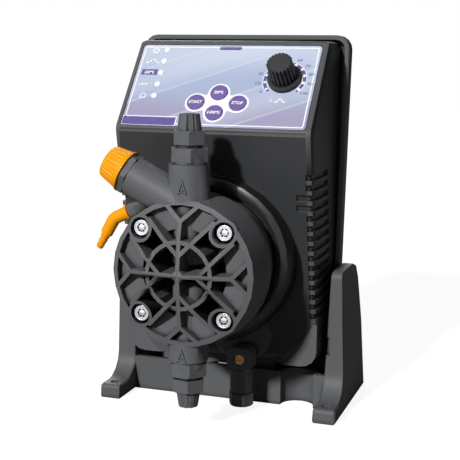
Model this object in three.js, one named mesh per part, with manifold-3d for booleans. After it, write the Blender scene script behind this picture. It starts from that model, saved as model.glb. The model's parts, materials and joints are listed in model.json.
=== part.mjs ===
// A solenoid-driven diaphragm dosing pump on its slide-on bracket.
// Lengths are millimetres. +X is to the right of someone facing the pump head,
// +Y is to the back and +Z is up. The origin is the centre of the bracket's underside.
import * as THREE from 'three';
import { mergeGeometries, mergeVertices } from 'three/addons/utils/BufferGeometryUtils.js';
import Module from 'manifold-3d';

const wasm = await Module();
wasm.setup();

// Clearances and allowances that many pieces share
const overrun = 2; // how far a cut runs past the face that it opens
const weldGap = 0.001; // points closer than this are one point
const seatGap = 0.3; // between a piece and its seat inside a turned group
const slideGap = 0.3; // around a piece that slides or turns

// Bracket: two feet, two side towers, a front wall with a cable niche
const baseWidth = 125.5;
const baseDepth = 71;
const baseFloor = 3.5;
const footWidth = 11.7;
const footHeight = 7.2;
const footEdge = 2;
const footFlat = 9; // from the foot's front face to the curve that climbs the tower
const fixingHoleRadius = 2.4;
const fixingHoleSetback = 5.6;
const towerHeight = 71.7;
const towerSetback = 21.2; // tower's front face behind the foot's front face
const towerLean = 1.5; // how far the tower leans forward at its top
const towerTopWidth = 5.8;
const towerTopInset = 2.6; // the outer side leans in by this at the top
const towerFrontEdge = 3.5;
const towerCrownDepth = 26; // flat top of a tower, front to back
const towerShoulderDrop = 9;
const towerShoulderReach = 12;
const towerBelly = 4.5; // the rear edge's bulge, and how high up it lies
const towerBellyShare = 0.63;
const towerSideEdge = 0.8;
const frontWallSetback = 20.8;
const frontWallHeight = 17.6;
const frontWallThickness = 3;
const nicheAcross = 37.8; // the cable niche's centre to the right of the middle
const nicheRadius = 8.8;
const nicheSetback = 0.9; // its axis behind the front wall's face
const seatRibThickness = 3;
const seatRibHalf = 24;
const seatArchHalf = 15;
const seatArchTop = 17;
const seatArchRadius = 6;
const seatRibSetbacks = [7, 27]; // behind the front wall
const latchHeight = 9.5;
const latchDepth = 2.4;
const latchRise = 28.5;
const latchInset = 3.4; // from the tower's inner side

// Housing: a moulded shell with a sloping control panel and a front that leans back
const housingHalf = 50;
const housingWall = 2.8;
const panelWall = 5;
const housingBottom = 24.5;
const housingTop = 184.3;
const housingBack = 11.5;
const housingSideEdge = 3;
const housingToeRadius = 5;
const housingShoulderRadius = 5;
const housingBrowRadius = 3.4;
const housingCornerRadius = 8;
const frontLean = THREE.MathUtils.degToRad(11.8);
const frontAtAxis = -31.6; // Y of the leaning front at the height of the head's axis
const cheekFront = -24.8; // Y of the upright faces at the two lower front corners
const dishRadius = 46.8;
const dishFlare = 4.2;
const dishHeight = 63;
const grooveCount = 15;
const groovePitch = 5;
const grooveHeight = 2.9;
const grooveDepth = 1.5;
const grooveLength = 31;
const grooveTopHeight = 122.2;
const grooveWrap = 3.6; // how far a groove runs across the front
const grooveLongWrap = 8.4;
const longGrooves = [2, 3];
const coverPostRadius = 3.8;
const coverPostAcross = 44;
const coverPostHeights = [40, 176];
const coverPostLength = 14;
const coverHoleRadius = 1.9;
const coverHoleDepth = 9.5;

// Collar: the round socket of the housing that carries the pump head
const headAxisHeight = 79;
const collarSeat = -38.5; // Y of the socket's floor, where the head's stack starts
const collarRadius = 41.2;
const collarEdge = 4;
const collarBore = 35.2;
const collarDepth = 8;
const collarFloor = 4;
const collarSkirt = 22; // length of the collar's wall behind the floor's front
const collarSkirtWall = 3.6;
const plugPadAcross = 10.5;
const plugPadDrop = 39; // below the head's axis
const plugPadRadius = 16.5;
const plugPadFront = -24.6;
const plugPadEdge = 1.6;

// Rear cover, its gasket and its screws
const coverHalf = 55.4; // half width at the top
const coverFootHalf = 52.4; // half width at the bottom
const coverTop = 187.6;
const coverFront = 7.3;
const coverRimDepth = 7.6;
const coverRimWall = 2.3;
const coverBack = 27;
const coverCorner = 7;
const coverEdge = 2;
const coverShellInset = 2.4;
const coverWall = 2.5;
const coverFootCorner = 1.5;
const coverRimEdge = 0.6;
const gasketThickness = 1;
const coverBossRadius = 4.8;
const coverScrewHeadRadius = 3.1;
const coverScrewHeadHeight = 2.4;
const coverScrewRadius = 1.6;
const coverScrewLength = 14;
const coverScrewSunk = 9;
const screwSlotWidth = 1;
const screwSlotDepth = 1;

// Control panel: label, knob, keys, lamps and the board behind them
const panelTilt = THREE.MathUtils.degToRad(51.5);
const panelCentreY = -28.5;
const panelCentreZ = 162.6;
const labelWidth = 93;
const labelHeight = 49.4;
const labelCorner = 1.6;
const labelThickness = 0.6;
const labelRecess = 1;
const keyPadAcross = 0.15;
const keyPadDrop = 10.5;
const keyPitchAcross = 10.7;
const keyPitchUp = 5.95;
const keyRadius = 4.5;
const keyRise = 0.6;
const keyEdge = 0.3;
const keyFlangeRadius = 5.1;
const keyFlangeHeight = 0.7;
const keyTravel = 0.6;
const keyStemRadius = 1.4;
const keyStemGap = 0.9; // between a key's stem and its switch at rest
const lampAcross = 33.3;
const lampTop = 21.7;
const lampPitch = 7.15;
const lampRadius = 1.35;
const lampTip = 0.3; // above the label
const lampFlangeRadius = 1.9;
const lampFlangeHeight = 0.8;
const knobAcross = 31.3;
const knobUp = 4.1;
const knobHeight = 12.8;
const knobFlangeRadius = 8.9;
const knobFlangeHeight = 2.5;
const knobGripRadius = 6.6;
const knobTopShare = 0.9;
const knobFluteDepth = 0.6;
const knobFlutes = 20;
const knobEdge = 0.5;
const spindleRadius = 3;
const spindleFlat = 0.8;
const spindleReach = 9; // above the panel's face
const bushingRadius = 4.2;
const dialBodyWidth = 16;
const dialBodyDepth = 7;
const dialBore = 3; // how deep the spindle enters the body
const boardWidth = 78;
const boardHeight = 47;
const boardThickness = 1.6;
const boardDepth = 9; // from the panel's face to the board's front
const boardPostRadius = 2.6;
const boardPostAcross = 26;
const boardPostUp = 19.5;
const switchWidth = 6;
const switchHeight = 3.5;

// Pump head, measured outwards from the socket's floor along the head's axis
const backplateRadius = 34.6;
const backplateThickness = 3;
const backplateBore = 9;
const diaphragmRadius = 24.5;
const diaphragmThickness = 2;
const hubFront = 47.6;
const domeRadius = 100;
const headNeckRadius = 33;
const headNeckFront = 19;
const headBodyRadius = 36;
const headBodyFront = 26;
const headEdge = 1.5;
const diagonalWidth = 10.8; // of the deep strips between the head's raised fields
const ringRadius = 34;
const ringWidth = 2.3;
const innerRingRadius = 16.2; // outer side, like the ring's
const innerRingWidth = 1.9;
const ribWidth = 1.9;
const hubRadius = 2.7;
const hubSides = 8;
const domeSteps = 2;
const forkRadius = 24.4; // where a cross rib splits
const forkSpread = 8.5;
const forkEnd = 32.2;
const tangentMeet = 8.9; // where the screw bosses' tangent ribs meet the axes
const plateauFront = 38.5;
const plateauRadius = 20.5;
const pocketFloor = 30;
const headBossAcross = 20;
const headBossRadius = 6.4;
const headScrewSeat = 37;
const headScrewPocket = 5;
const headScrewHeadRadius = 3.6;
const headScrewHeadHeight = 4;
const headScrewRadius = 2.4;
const headScrewHole = 2.8;
const headScrewSocket = 1.9;
const headScrewSocketDepth = 2.2;
const headScrewEnd = 2.9; // behind the socket's floor
const chamberRadius = 19.5;
const chamberDepth = 2.6;
const valveAxis = 32.5; // the valves' axis in front of the socket's floor
const channelRadius = 7.35;
const channelStart = 4;
const portRadius = 9.4;
const dischargePortEnd = 49.3;
const suctionPortEnd = 42;
const portPocketRadius = 6.4;
const portPocketDepth = 14;
const portPassage = 2.2;
const chamberPassageRise = 14;

// Valve cartridges and hose fittings, the same at both ports
const valveHexAcross = 16.2;
const valveHexHeight = 6.3;
const valveFlangeRadius = 8.5;
const valveFlangeHeight = 1.1; // the round collar under the hexagon
const valveStubLength = 13;
const valveSpigotRadius = 4.6; // the threaded end inside the hose nut
const valveSpigotHeight = 4;
const sealSetback = 4; // from the port's mouth to the seal
const ballRadius = 2.5;
const ballCageRadius = 3.1;
const valveBore = 1.9;
const ballGap = 0.1; // between a resting ball and its seat's rim
const cageHeight = 5.8;
const cageRise = 4.5; // from the stub's inner end to the cage
const valveHexTurn = THREE.MathUtils.degToRad(-6);
const nutHexTurn = THREE.MathUtils.degToRad(-11.5);
const nutHexAcross = 13.8;
const nutHexHeight = 6.4;
const nutNeckHeight = 1.4;
const nutNeckRadius = 6.2;
const colletHeight = 7.5;
const colletRadius = 5.75;
const colletTopShare = 0.79;
const colletFlutes = 10;
const colletFluteDepth = 0.8;
const hoseBore = 3.2;
const hexChamfer = 0.7;
const sealSection = 1.2;

// Bleed valve and drain elbow on the head's upper left
const bleedTilt = THREE.MathUtils.degToRad(27.2);
const bleedStart = 28.4; // above the head's axis, on the valves' axis
const bleedBossRadius = 9.35;
const bleedBossEnd = 31;
const bleedPocketRadius = 6.4;
const bleedPocketDepth = 14;
const bleedStubLength = 9;
const bleedPassage = 1.1;
const bleedNeckRadius = 7;
const bleedNeckHeight = 3.2;
const bleedHexAcross = 17.6;
const bleedHexHeight = 3;
const bleedNeedleRadius = 3;
const bleedNeedleTip = 0.8;
const capStart = 34.6;
const capHeight = 11;
const capSkirtRadius = 10.1;
const capSkirtHeight = 1;
const capRadius = 9.3;
const capTopShare = 0.8;
const capFlutes = 14;
const capFluteDepth = 0.7;
const capTopEdge = 0.8;
const capSkirtDepth = 3.6; // hollow under the cap
const capSkirtWall = 1.6;
const needleTipLength = 2;
const capBoreDepth = 8;
const drainTilt = THREE.MathUtils.degToRad(25);
const drainAcross = 29.3;
const drainUp = 25.9;
const drainBossRadius = 3.7;
const drainBossLength = 12;
const drainPassageLength = 14;
const elbowFlangeRadius = 3.3;
const elbowFlangeHeight = 1;
const elbowRadius = 2.6;
const elbowFirstLeg = 9;
const elbowTurn = THREE.MathUtils.degToRad(34);
const elbowSecondLeg = 7.6;
const elbowEndRadius = 2.5;
const elbowKnuckle = 2.8; // the swelling at the bend
const barbRadius = 1.6;
const barbTipRadius = 1.4;
const barbLength = 8.6;
const barbRings = 3;
const barbRingRise = 0.3;
const barbRingPitch = 1.7;
const elbowBore = 1;
const elbowSpigot = 1.4;
const elbowSpigotLength = 4;

// Solenoid, measured backwards from the socket's floor
const yokeWidth = 50;
const yokeDepth = 44;
const yokePlate = 4.5;
const yokeSide = 5;
const coilRadius = 19.4;
const coilBore = 12.5;
const coreRadius = 12.1;
const coreDepth = 12;
const armatureRadius = 11.7;
const armatureLength = 28;
const airGap = 1.7;
const shaftRadius = 3;
const bushRadius = 5;
const bushFlangeRadius = 7;
const bushFlangeHeight = 1;
const pistonRadius = 8;
const pistonHeight = 2.6;
const springRadius = 5.2; // to the wire's centre
const springWire = 1;
const springTurns = 5;
const springSpace = 7.2; // radius of the bore that holds the spring
const springLength = 10.2;
const springSteps = 7;
const springSides = 5;

// Signal connector under the head, and the mains gland under the housing
const plugAcross = 13.2;
const plugAxisY = -30.5;
const plugFront = -35.5;
const plugWidth = 12.8;
const plugHeight = 12.4;
const plugBottom = 21.6;
const plugChamfer = 2.4;
const plugEdge = 0.4;
const plugBore = 5.4; // how far the cable's bore runs up the stem
const plugDepth = 8.4;
const plugStemRadius = 5.7;
const plugStemBottom = 10.6;
const plugGlandAcross = 11;
const plugGlandHeight = 6.4;
const plugGlandNeck = 0.6;
const plugScrewRadius = 2.6;
const plugScrewRise = 27.6;
const plugScrewSunk = 0.8;
const plugScrewShank = 1.5;
const plugScrewHead = 1.6;
const plugSocketHalf = 4.6; // half the width of the socket's block inside the plug
const plugSocketReach = 3.6;
const plugSocketFlangeHalf = 5.2;
const plugScrewLength = 8;
const glandAcross = 37.8;
const glandY = 4.6;
const glandHexAcross = 13;
const glandHexHeight = 4.6;
const glandNutRadius = 6;
const glandNutHeight = 4;
const glandThreadRadius = 4.4;
const glandThreadLength = 7.5;
const glandBore = 3.2;

// Facet counts
const fineSides = 28;
const roundSides = 16;
const hiddenSides = 12; // for what lies inside other pieces
const smallSides = 8;
const keySides = 16;
const elbowSides = 10;
const landShare = 0.6; // of a flute's pitch that stays flat
const curveSteps = 2; // an arc gets twice as many facets
const softEdge = 1.5; // rims rounder than this get a second facet

const quarterTurn = Math.PI / 2;
const halfTurn = Math.PI;
const fullTurn = Math.PI * 2;

// Finishes
const finish = (color, roughness, metalness) =>
  new THREE.MeshStandardMaterial({ color, roughness, metalness });
const blackPlastic = finish(0x2c2d2f, 0.5, 0);
const headPlastic = finish(0x333436, 0.45, 0);
const orangePlastic = finish(0xffa200, 0.4, 0);
const printedFilm = finish(0xc3c4e6, 0.35, 0);
const keyFilm = finish(0x6a4c93, 0.4, 0);
const lampPlastic = finish(0xf2f2f5, 0.2, 0);
const knobPlastic = finish(0x1d1d1f, 0.45, 0);
const boardLaminate = finish(0x1f5f3a, 0.6, 0);
const steel = finish(0xc9ccd0, 0.3, 1);
const brass = finish(0xc9a06a, 0.35, 1);
const iron = finish(0x6d7074, 0.5, 0.9);
const copperWinding = finish(0xa8562c, 0.5, 0.6);
const rubber = finish(0x1a1a1a, 0.8, 0);
const fluoropolymer = finish(0xf0efe8, 0.5, 0);
const ceramic = finish(0xf4f2ec, 0.25, 0);

// Closed surface to solid, and back
function toSolid(geometry) {
  const bare = geometry.clone();
  bare.deleteAttribute('normal');
  bare.deleteAttribute('uv');
  const welded = mergeVertices(bare, weldGap);
  const points = welded.index.array;
  const faces = [];
  for (let i = 0; i < points.length; i += 3) {
    const [a, b, c] = points.subarray(i, i + 3);
    if (a !== b && b !== c && c !== a) faces.push(a, b, c);
  }
  const vertProperties = welded.attributes.position.array;
  const triVerts = Uint32Array.from(faces);
  return new wasm.Manifold(new wasm.Mesh({ numProp: 3, vertProperties, triVerts }));
}

function toGeometry(solid) {
  const mesh = solid.getMesh();
  const geometry = new THREE.BufferGeometry();
  geometry.setAttribute('position', new THREE.BufferAttribute(mesh.vertProperties, 3));
  geometry.setIndex(new THREE.BufferAttribute(mesh.triVerts, 1));
  geometry.computeVertexNormals();
  return geometry;
}

const join = (first, ...others) =>
  toGeometry(others.reduce((sum, next) => sum.add(toSolid(next)), toSolid(first)));
const cut = (first, ...others) =>
  toGeometry(others.reduce((rest, next) => rest.subtract(toSolid(next)), toSolid(first)));
const common = (first, second) => toGeometry(toSolid(first).intersect(toSolid(second)));

// Basic forms
const at = (x, y) => new THREE.Vector2(x, y);

function block(x0, x1, y0, y1, z0, z1) {
  const box = new THREE.BoxGeometry(x1 - x0, y1 - y0, z1 - z0);
  return box.translate((x0 + x1) / 2, (y0 + y1) / 2, (z0 + z1) / 2);
}

// A round bar along Z from z0 to z1
function bar(radius, z0, z1, sides = roundSides, endRadius = radius) {
  const geometry = new THREE.CylinderGeometry(endRadius, radius, z1 - z0, sides);
  return geometry.rotateX(quarterTurn).translate(0, 0, (z0 + z1) / 2);
}

// A profile of (radius, height) points, outer side upwards, turned round Z
function revolve(profile, sides = roundSides) {
  return new THREE.LatheGeometry(profile, sides).rotateX(quarterTurn);
}

function ring(outer, inner, z0, z1, sides = roundSides) {
  return revolve([at(inner, z0), at(outer, z0), at(outer, z1), at(inner, z1), at(inner, z0)], sides);
}

// A closed outline whose corners are rounded with arcs
function outline(corners, radii) {
  const shape = new THREE.Shape();
  corners.forEach((corner, i) => {
    const towardsLast = corners.at(i - 1).clone().sub(corner).normalize();
    const towardsNext = corners[(i + 1) % corners.length].clone().sub(corner).normalize();
    const half = Math.acos(towardsLast.dot(towardsNext)) / 2;
    const reach = radii[i] / Math.tan(half);
    const start = corner.clone().addScaledVector(towardsLast, reach);
    const end = corner.clone().addScaledVector(towardsNext, reach);
    const middle = towardsLast.clone().add(towardsNext).normalize();
    const centre = corner.clone().addScaledVector(middle, radii[i] / Math.sin(half));
    if (i === 0) shape.moveTo(start.x, start.y);
    else shape.lineTo(start.x, start.y);
    if (radii[i] === 0) return;
    const from = start.sub(centre).angle();
    const to = end.sub(centre).angle();
    shape.absarc(centre.x, centre.y, radii[i], from, to, towardsLast.cross(towardsNext) > 0);
  });
  shape.closePath();
  return shape;
}

function rectangle(x0, x1, y0, y1, radius = 0) {
  return outline([at(x0, y0), at(x1, y0), at(x1, y1), at(x0, y1)], [radius, radius, radius, radius]);
}

// A shape pushed along Z from z0 to z1, with rounded rims where edge is given
function prism(shape, z0, z1, edge = 0, steps = curveSteps) {
  const geometry = new THREE.ExtrudeGeometry(shape, {
    depth: z1 - z0 - 2 * edge,
    curveSegments: steps,
    bevelEnabled: edge > 0,
    bevelThickness: edge,
    bevelSize: edge,
    bevelOffset: -edge,
    bevelSegments: edge > softEdge ? 2 : 1,
  });
  return geometry.translate(0, 0, z0 + edge);
}

// A shape drawn as (Y, Z) and pushed along X
const across = (shape, x0, x1, edge) =>
  prism(shape, x0, x1, edge).rotateX(quarterTurn).rotateZ(quarterTurn);

// A shape drawn as (X, Z) and pushed along Y
const deep = (shape, y0, y1, edge) => prism(shape, -y1, -y0, edge).rotateX(quarterTurn);

// Bars along X and Y
const barAlongY = (radius, y0, y1, sides, endRadius) =>
  bar(radius, -y1, -y0, sides, endRadius).rotateX(quarterTurn);

function hexagon(acrossFlats) {
  const radius = acrossFlats / Math.sqrt(3);
  const corner = (i) => at(radius, 0).rotateAround(at(0, 0), (i * fullTurn) / 6);
  const corners = Array.from({ length: 6 }, (_, i) => corner(i));
  return new THREE.Shape(corners);
}

// A hexagonal bar whose corners are chamfered at one end
function hexBar(acrossFlats, z0, z1) {
  const corner = acrossFlats / Math.sqrt(3);
  const inner = corner - hexChamfer;
  const tall = [at(0, z0), at(corner + overrun, z0), at(corner + overrun, z1 - hexChamfer - overrun)];
  return common(prism(hexagon(acrossFlats), z0, z1), revolve([...tall, at(inner, z1), at(0, z1)]));
}

// A fluted outline: flat lands with narrow V grooves between them, evenly spread
function flutedShape(radius, depth, count) {
  const flute = (i) => {
    const place = (share, reach) => at(reach, 0).rotateAround(at(0, 0), ((i + share) * fullTurn) / count);
    return [place(0, radius), place(landShare, radius), place((1 + landShare) / 2, radius - depth)];
  };
  return new THREE.Shape(Array.from({ length: count }, (_, i) => flute(i)).flat());
}

// Narrows a form evenly along Z, from full size at z0 to a share of it at z1
function tapered(geometry, z0, z1, share) {
  const points = geometry.attributes.position;
  for (let i = 0; i < points.count; i += 1) {
    const rise = (points.getZ(i) - z0) / (z1 - z0);
    const scale = 1 - (1 - share) * rise;
    points.setXY(i, points.getX(i) * scale, points.getY(i) * scale);
  }
  return geometry;
}

const pump = new THREE.Group();

function addPiece(name, geometry, material, parent = pump) {
  const mesh = new THREE.Mesh(toGeometry(toSolid(geometry)), material);
  mesh.name = name;
  parent.add(mesh);
}

// Bracket
const baseFront = -baseDepth / 2;
const baseBack = baseDepth / 2;
const towerOuter = baseWidth / 2;
const towerInner = towerOuter - footWidth;

function towerOutline() {
  const face = baseFront + towerSetback;
  const climb = towerSetback - footFlat;
  const crown = face - towerLean;
  const crownEnd = crown + towerCrownDepth;
  const shape = new THREE.Shape();
  shape.moveTo(baseBack, 0);
  shape.lineTo(baseFront, 0);
  shape.absarc(baseFront + footEdge, footHeight - footEdge, footEdge, halfTurn, quarterTurn, true);
  shape.absarc(baseFront + footFlat, footHeight + climb, climb, -quarterTurn, 0, false);
  const edgeHeight = towerHeight - towerFrontEdge;
  shape.absarc(crown + towerFrontEdge, edgeHeight, towerFrontEdge, halfTurn, quarterTurn, true);
  shape.lineTo(crownEnd, towerHeight);
  const shoulderY = crownEnd + towerShoulderReach;
  const shoulderZ = towerHeight - towerShoulderDrop;
  shape.quadraticCurveTo(crownEnd + towerShoulderDrop, towerHeight, shoulderY, shoulderZ);
  shape.quadraticCurveTo(baseBack - towerBelly, towerHeight * towerBellyShare, baseBack, 0);
  return shape;
}

// The right tower, whose sides lean in towards the top
function tower() {
  const geometry = across(towerOutline(), 0, footWidth, towerSideEdge);
  const points = geometry.attributes.position;
  for (let i = 0; i < points.count; i += 1) {
    const riseShare = points.getZ(i) / towerHeight;
    const widthShare = 1 - (1 - towerTopWidth / footWidth) * riseShare;
    const outer = towerOuter - towerTopInset * riseShare;
    points.setX(i, outer - (footWidth - points.getX(i)) * widthShare);
  }
  return geometry;
}

function mirrored(geometry) {
  return toGeometry(toSolid(geometry).mirror([1, 0, 0]));
}

function makeTower() {
  const face = baseFront + towerSetback;
  const notchBottom = latchRise;
  const notch = block(
    towerInner - overrun,
    towerInner + latchInset,
    face - towerLean - overrun,
    face + latchDepth,
    notchBottom,
    notchBottom + latchHeight,
  );
  const guideHalf = towerOuter - towerTopInset - towerTopWidth + slideGap;
  const guide = block(
    0,
    guideHalf,
    coverFront - slideGap,
    coverBack + slideGap,
    housingBottom - slideGap,
    towerHeight + overrun,
  );
  const fixingHole = bar(fixingHoleRadius, -overrun, footHeight + overrun, smallSides);
  fixingHole.translate(towerOuter - footWidth / 2, baseFront + fixingHoleSetback, 0);
  return cut(tower(), notch, guide, fixingHole);
}

function makeBracket() {
  const wallFront = baseFront + frontWallSetback;
  const nicheY = wallFront + nicheSetback;
  const reach = towerInner + seatRibThickness / 2;
  const wall = block(-reach, reach, wallFront, wallFront + frontWallThickness, 0, frontWallHeight);
  const floor = block(-reach, reach, wallFront, baseBack, 0, baseFloor);
  const nicheWall = nicheRadius + frontWallThickness;
  const nicheShell = bar(nicheWall, 0, frontWallHeight).translate(nicheAcross, nicheY, 0);
  const nicheBack = cut(nicheShell, block(0, towerOuter, baseFront, wallFront, -overrun, housingBottom));
  const niche = bar(nicheRadius, -overrun, frontWallHeight + overrun).translate(nicheAcross, nicheY, 0);
  const arch = outline(
    [
      at(-seatArchHalf, baseFloor),
      at(seatArchHalf, baseFloor),
      at(seatArchHalf, seatArchTop),
      at(-seatArchHalf, seatArchTop),
    ],
    [0, 0, seatArchRadius, seatArchRadius],
  );
  const ribs = seatRibSetbacks.map((setback) => {
    const front = wallFront + setback;
    const rib = block(-seatRibHalf, seatRibHalf, front, front + seatRibThickness, 0, housingBottom);
    return cut(rib, deep(arch, front - overrun, front + seatRibThickness + overrun));
  });
  const rightTower = makeTower();
  return cut(join(wall, floor, nicheBack, ...ribs, rightTower, mirrored(rightTower)), niche);
}

// Front housing
const frontAt = (z, inset = 0) =>
  frontAtAxis + inset / Math.cos(frontLean) - Math.tan(frontLean) * (z - headAxisHeight);
const panelAt = (z, inset = 0) =>
  panelCentreY + inset / Math.sin(panelTilt) + (z - panelCentreZ) / Math.tan(panelTilt);

// From the panel's frame and from the pump head's frame to the part's frame
const fromPanel = (geometry) => geometry.rotateX(panelTilt).translate(0, panelCentreY, panelCentreZ);
const fromHead = (geometry) => geometry.rotateX(quarterTurn).translate(0, collarSeat, headAxisHeight);

const fourCorners = (aside, up) => [at(aside, up), at(-aside, up), at(-aside, -up), at(aside, -up)];
const headScrewSpots = fourCorners(headBossAcross, headBossAcross);
const coverScrewSpots = coverPostHeights.flatMap((z) => [at(-coverPostAcross, z), at(coverPostAcross, z)]);
const keySpots = {
  start: at(keyPadAcross - keyPitchAcross, -keyPadDrop),
  twenty: at(keyPadAcross, keyPitchUp - keyPadDrop),
  stop: at(keyPadAcross + keyPitchAcross, -keyPadDrop),
  hundred: at(keyPadAcross, -keyPitchUp - keyPadDrop),
};
const lampNames = ['power', 'pulse', 'twenty', 'hundred', 'alarm'];
const lampSpots = lampNames.map((_, i) => at(-lampAcross, lampTop - i * lampPitch));
const boardPostSpots = fourCorners(boardPostAcross, boardPostUp);

// The shell's side view, moved inwards by one wall thickness, or two different ones
function housingOutline(wall, panel, back) {
  const bottom = housingBottom + wall;
  const top = housingTop - wall;
  const shoulder = (frontAt(0, wall) - panelAt(0, panel)) / (Math.tan(frontLean) + 1 / Math.tan(panelTilt));
  const corners = [
    at(back, bottom),
    at(frontAt(bottom, wall), bottom),
    at(frontAt(shoulder, wall), shoulder),
    at(panelAt(top, panel), top),
    at(back, top),
  ];
  const rounds = [0, housingToeRadius, housingShoulderRadius, housingBrowRadius, 0];
  return outline(corners, rounds.map((radius) => Math.max(0, radius - wall)));
}

// The shell's front view, with its lower corners rounded
function housingFrontView() {
  const corners = [
    at(-housingHalf, housingBottom),
    at(housingHalf, housingBottom),
    at(housingHalf, housingTop),
    at(-housingHalf, housingTop),
  ];
  const rounds = [housingCornerRadius, housingCornerRadius, 0, 0];
  return deep(outline(corners, rounds), collarSeat - hubFront, housingBack + overrun);
}

// Upright faces at the lower front corners, with a flared dish between them
function housingCheeks() {
  const cheekTop = headAxisHeight + (frontAtAxis - cheekFront) / Math.tan(frontLean);
  const wedge = new THREE.Shape([
    at(cheekFront, housingBottom),
    at(frontAt(housingBottom, housingWall), housingBottom),
    at(frontAt(cheekTop, housingWall), cheekTop),
    at(cheekFront, cheekTop),
  ]);
  const foot = frontAt(housingBottom);
  const flare = dishFlare / (foot - cheekFront);
  const dish = barAlongY(
    dishRadius - flare * overrun,
    cheekFront - overrun,
    foot + overrun,
    fineSides,
    dishRadius + dishFlare + flare * overrun,
  );
  return cut(across(wedge, -housingHalf, housingHalf), dish.translate(0, 0, dishHeight));
}

function plugPad() {
  const front = collarSeat - plugPadFront;
  const back = collarSeat - frontAt(housingBottom, housingWall);
  const profile = [
    at(0, back),
    at(plugPadRadius, back),
    at(plugPadRadius, front - plugPadEdge),
    at(plugPadRadius - plugPadEdge, front),
    at(0, front),
  ];
  return fromHead(revolve(profile).translate(plugPadAcross, -plugPadDrop, 0));
}

// Round socket for the pump head, with a skirt that runs back round the solenoid
function collar() {
  const inner = collarRadius - collarSkirtWall;
  const hole = bushRadius + slideGap;
  const corners = [
    at(inner, -collarSkirt),
    at(collarRadius, -collarSkirt),
    at(collarRadius, collarDepth),
    at(collarBore, collarDepth),
    at(collarBore, 0),
    at(hole, 0),
    at(hole, -collarFloor),
    at(inner, -collarFloor),
  ];
  const profile = outline(corners, [0, 0, collarEdge, 0, 0, 0, 0, 0]).getPoints(1);
  return fromHead(revolve(profile, fineSides));
}

function grooves() {
  const slots = [];
  for (let i = 0; i < grooveCount; i += 1) {
    const top = grooveTopHeight - i * groovePitch;
    const front = frontAt(top);
    const wrap = longGrooves.includes(i) ? grooveLongWrap : grooveWrap;
    const inner = housingHalf - wrap;
    const outer = housingHalf + overrun;
    slots.push(block(inner, outer, front - overrun, front + grooveLength, top - grooveHeight, top));
    slots.push(block(-outer, -inner, front - overrun, front + grooveLength, top - grooveHeight, top));
  }
  const half = housingHalf - grooveDepth;
  const coreOutline = housingOutline(grooveDepth, grooveDepth, housingBack);
  const core = across(coreOutline, -half, half, housingSideEdge - grooveDepth);
  return cut(mergeGeometries(slots), core);
}

// Everything that is cut into the sloping panel, in the panel's frame
function panelCuts() {
  const half = labelWidth / 2 + slideGap;
  const rise = labelHeight / 2 + slideGap;
  const recess = prism(rectangle(-half, half, -rise, rise, labelCorner), -labelRecess, overrun);
  const keyFloor = labelRecess + keyFlangeHeight + keyTravel + seatGap + slideGap;
  const keyCuts = Object.values(keySpots).flatMap((spot) => [
    bar(keyFlangeRadius + slideGap, -keyFloor, 0, hiddenSides).translate(spot.x, spot.y, 0),
    bar(keyStemRadius + slideGap, -panelWall - overrun, 0, smallSides).translate(spot.x, spot.y, 0),
  ]);
  const lampCuts = lampSpots.map((spot) =>
    bar(lampRadius + slideGap, -panelWall - overrun, 0, smallSides).translate(spot.x, spot.y, 0),
  );
  const bushingHole = bar(bushingRadius + slideGap, -panelWall - overrun, 0, hiddenSides);
  bushingHole.translate(knobAcross, knobUp, 0);
  return [recess, ...keyCuts, ...lampCuts, bushingHole].map(fromPanel);
}

// A bar on the line of each of the rear cover's screws
const atCoverScrews = (radius, y0, y1) =>
  coverScrewSpots.map((spot) => barAlongY(radius, y0, y1, smallSides).translate(spot.x, 0, spot.y));

function makeHousing() {
  const back = housingBack + overrun;
  const roughBack = back + housingSideEdge;
  const inner = housingHalf - housingWall;
  const frontView = housingFrontView();
  const body = across(housingOutline(0, 0, roughBack), -housingHalf, housingHalf, housingSideEdge);
  const outside = common(join(body, housingCheeks(), plugPad()), frontView);
  const cavity = across(housingOutline(housingWall, panelWall, back), -inner, inner);
  const skirtBore = collarRadius - collarSkirtWall;
  const skirtSpace = fromHead(bar(skirtBore, -collarSkirt, collarDepth + overrun, fineSides));
  const behind = block(-coverHalf, coverHalf, housingBack, roughBack, 0, coverTop);
  const shell = cut(outside, cavity, skirtSpace, behind, grooves());

  const posts = atCoverScrews(coverPostRadius, housingBack - coverPostLength, housingBack);
  const boardPosts = boardPostSpots.map((spot) => {
    const post = bar(boardPostRadius, seatGap - boardDepth, -panelWall + housingWall / 2, smallSides);
    return fromPanel(post.translate(spot.x, spot.y, 0));
  });
  const whole = join(shell, collar(), ...posts, ...boardPosts);

  const holeEnd = housingBack - coverHoleDepth;
  const coverHoles = atCoverScrews(coverHoleRadius, holeEnd, housingBack + overrun);
  const headHoles = headScrewSpots.map((spot) => {
    const hole = bar(headScrewHole, -headScrewEnd - seatGap, overrun, smallSides);
    return fromHead(hole.translate(spot.x, spot.y, 0));
  });
  const glandTop = housingBottom + housingWall + overrun;
  const glandHole = bar(glandThreadRadius + slideGap, 0, glandTop, hiddenSides);
  glandHole.translate(glandAcross, glandY, 0);
  return cut(whole, ...coverHoles, ...headHoles, glandHole, ...panelCuts());
}

// Rear cover
function coverOutline(inset, foot, footRound) {
  const low = coverFootHalf - inset;
  const high = coverHalf - inset;
  const top = coverTop - inset;
  const round = coverCorner - inset;
  const corners = [at(-low, foot), at(low, foot), at(high, top), at(-high, top)];
  return outline(corners, [footRound, footRound, round, round]);
}

const coverStep = housingBack + gasketThickness;

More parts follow.
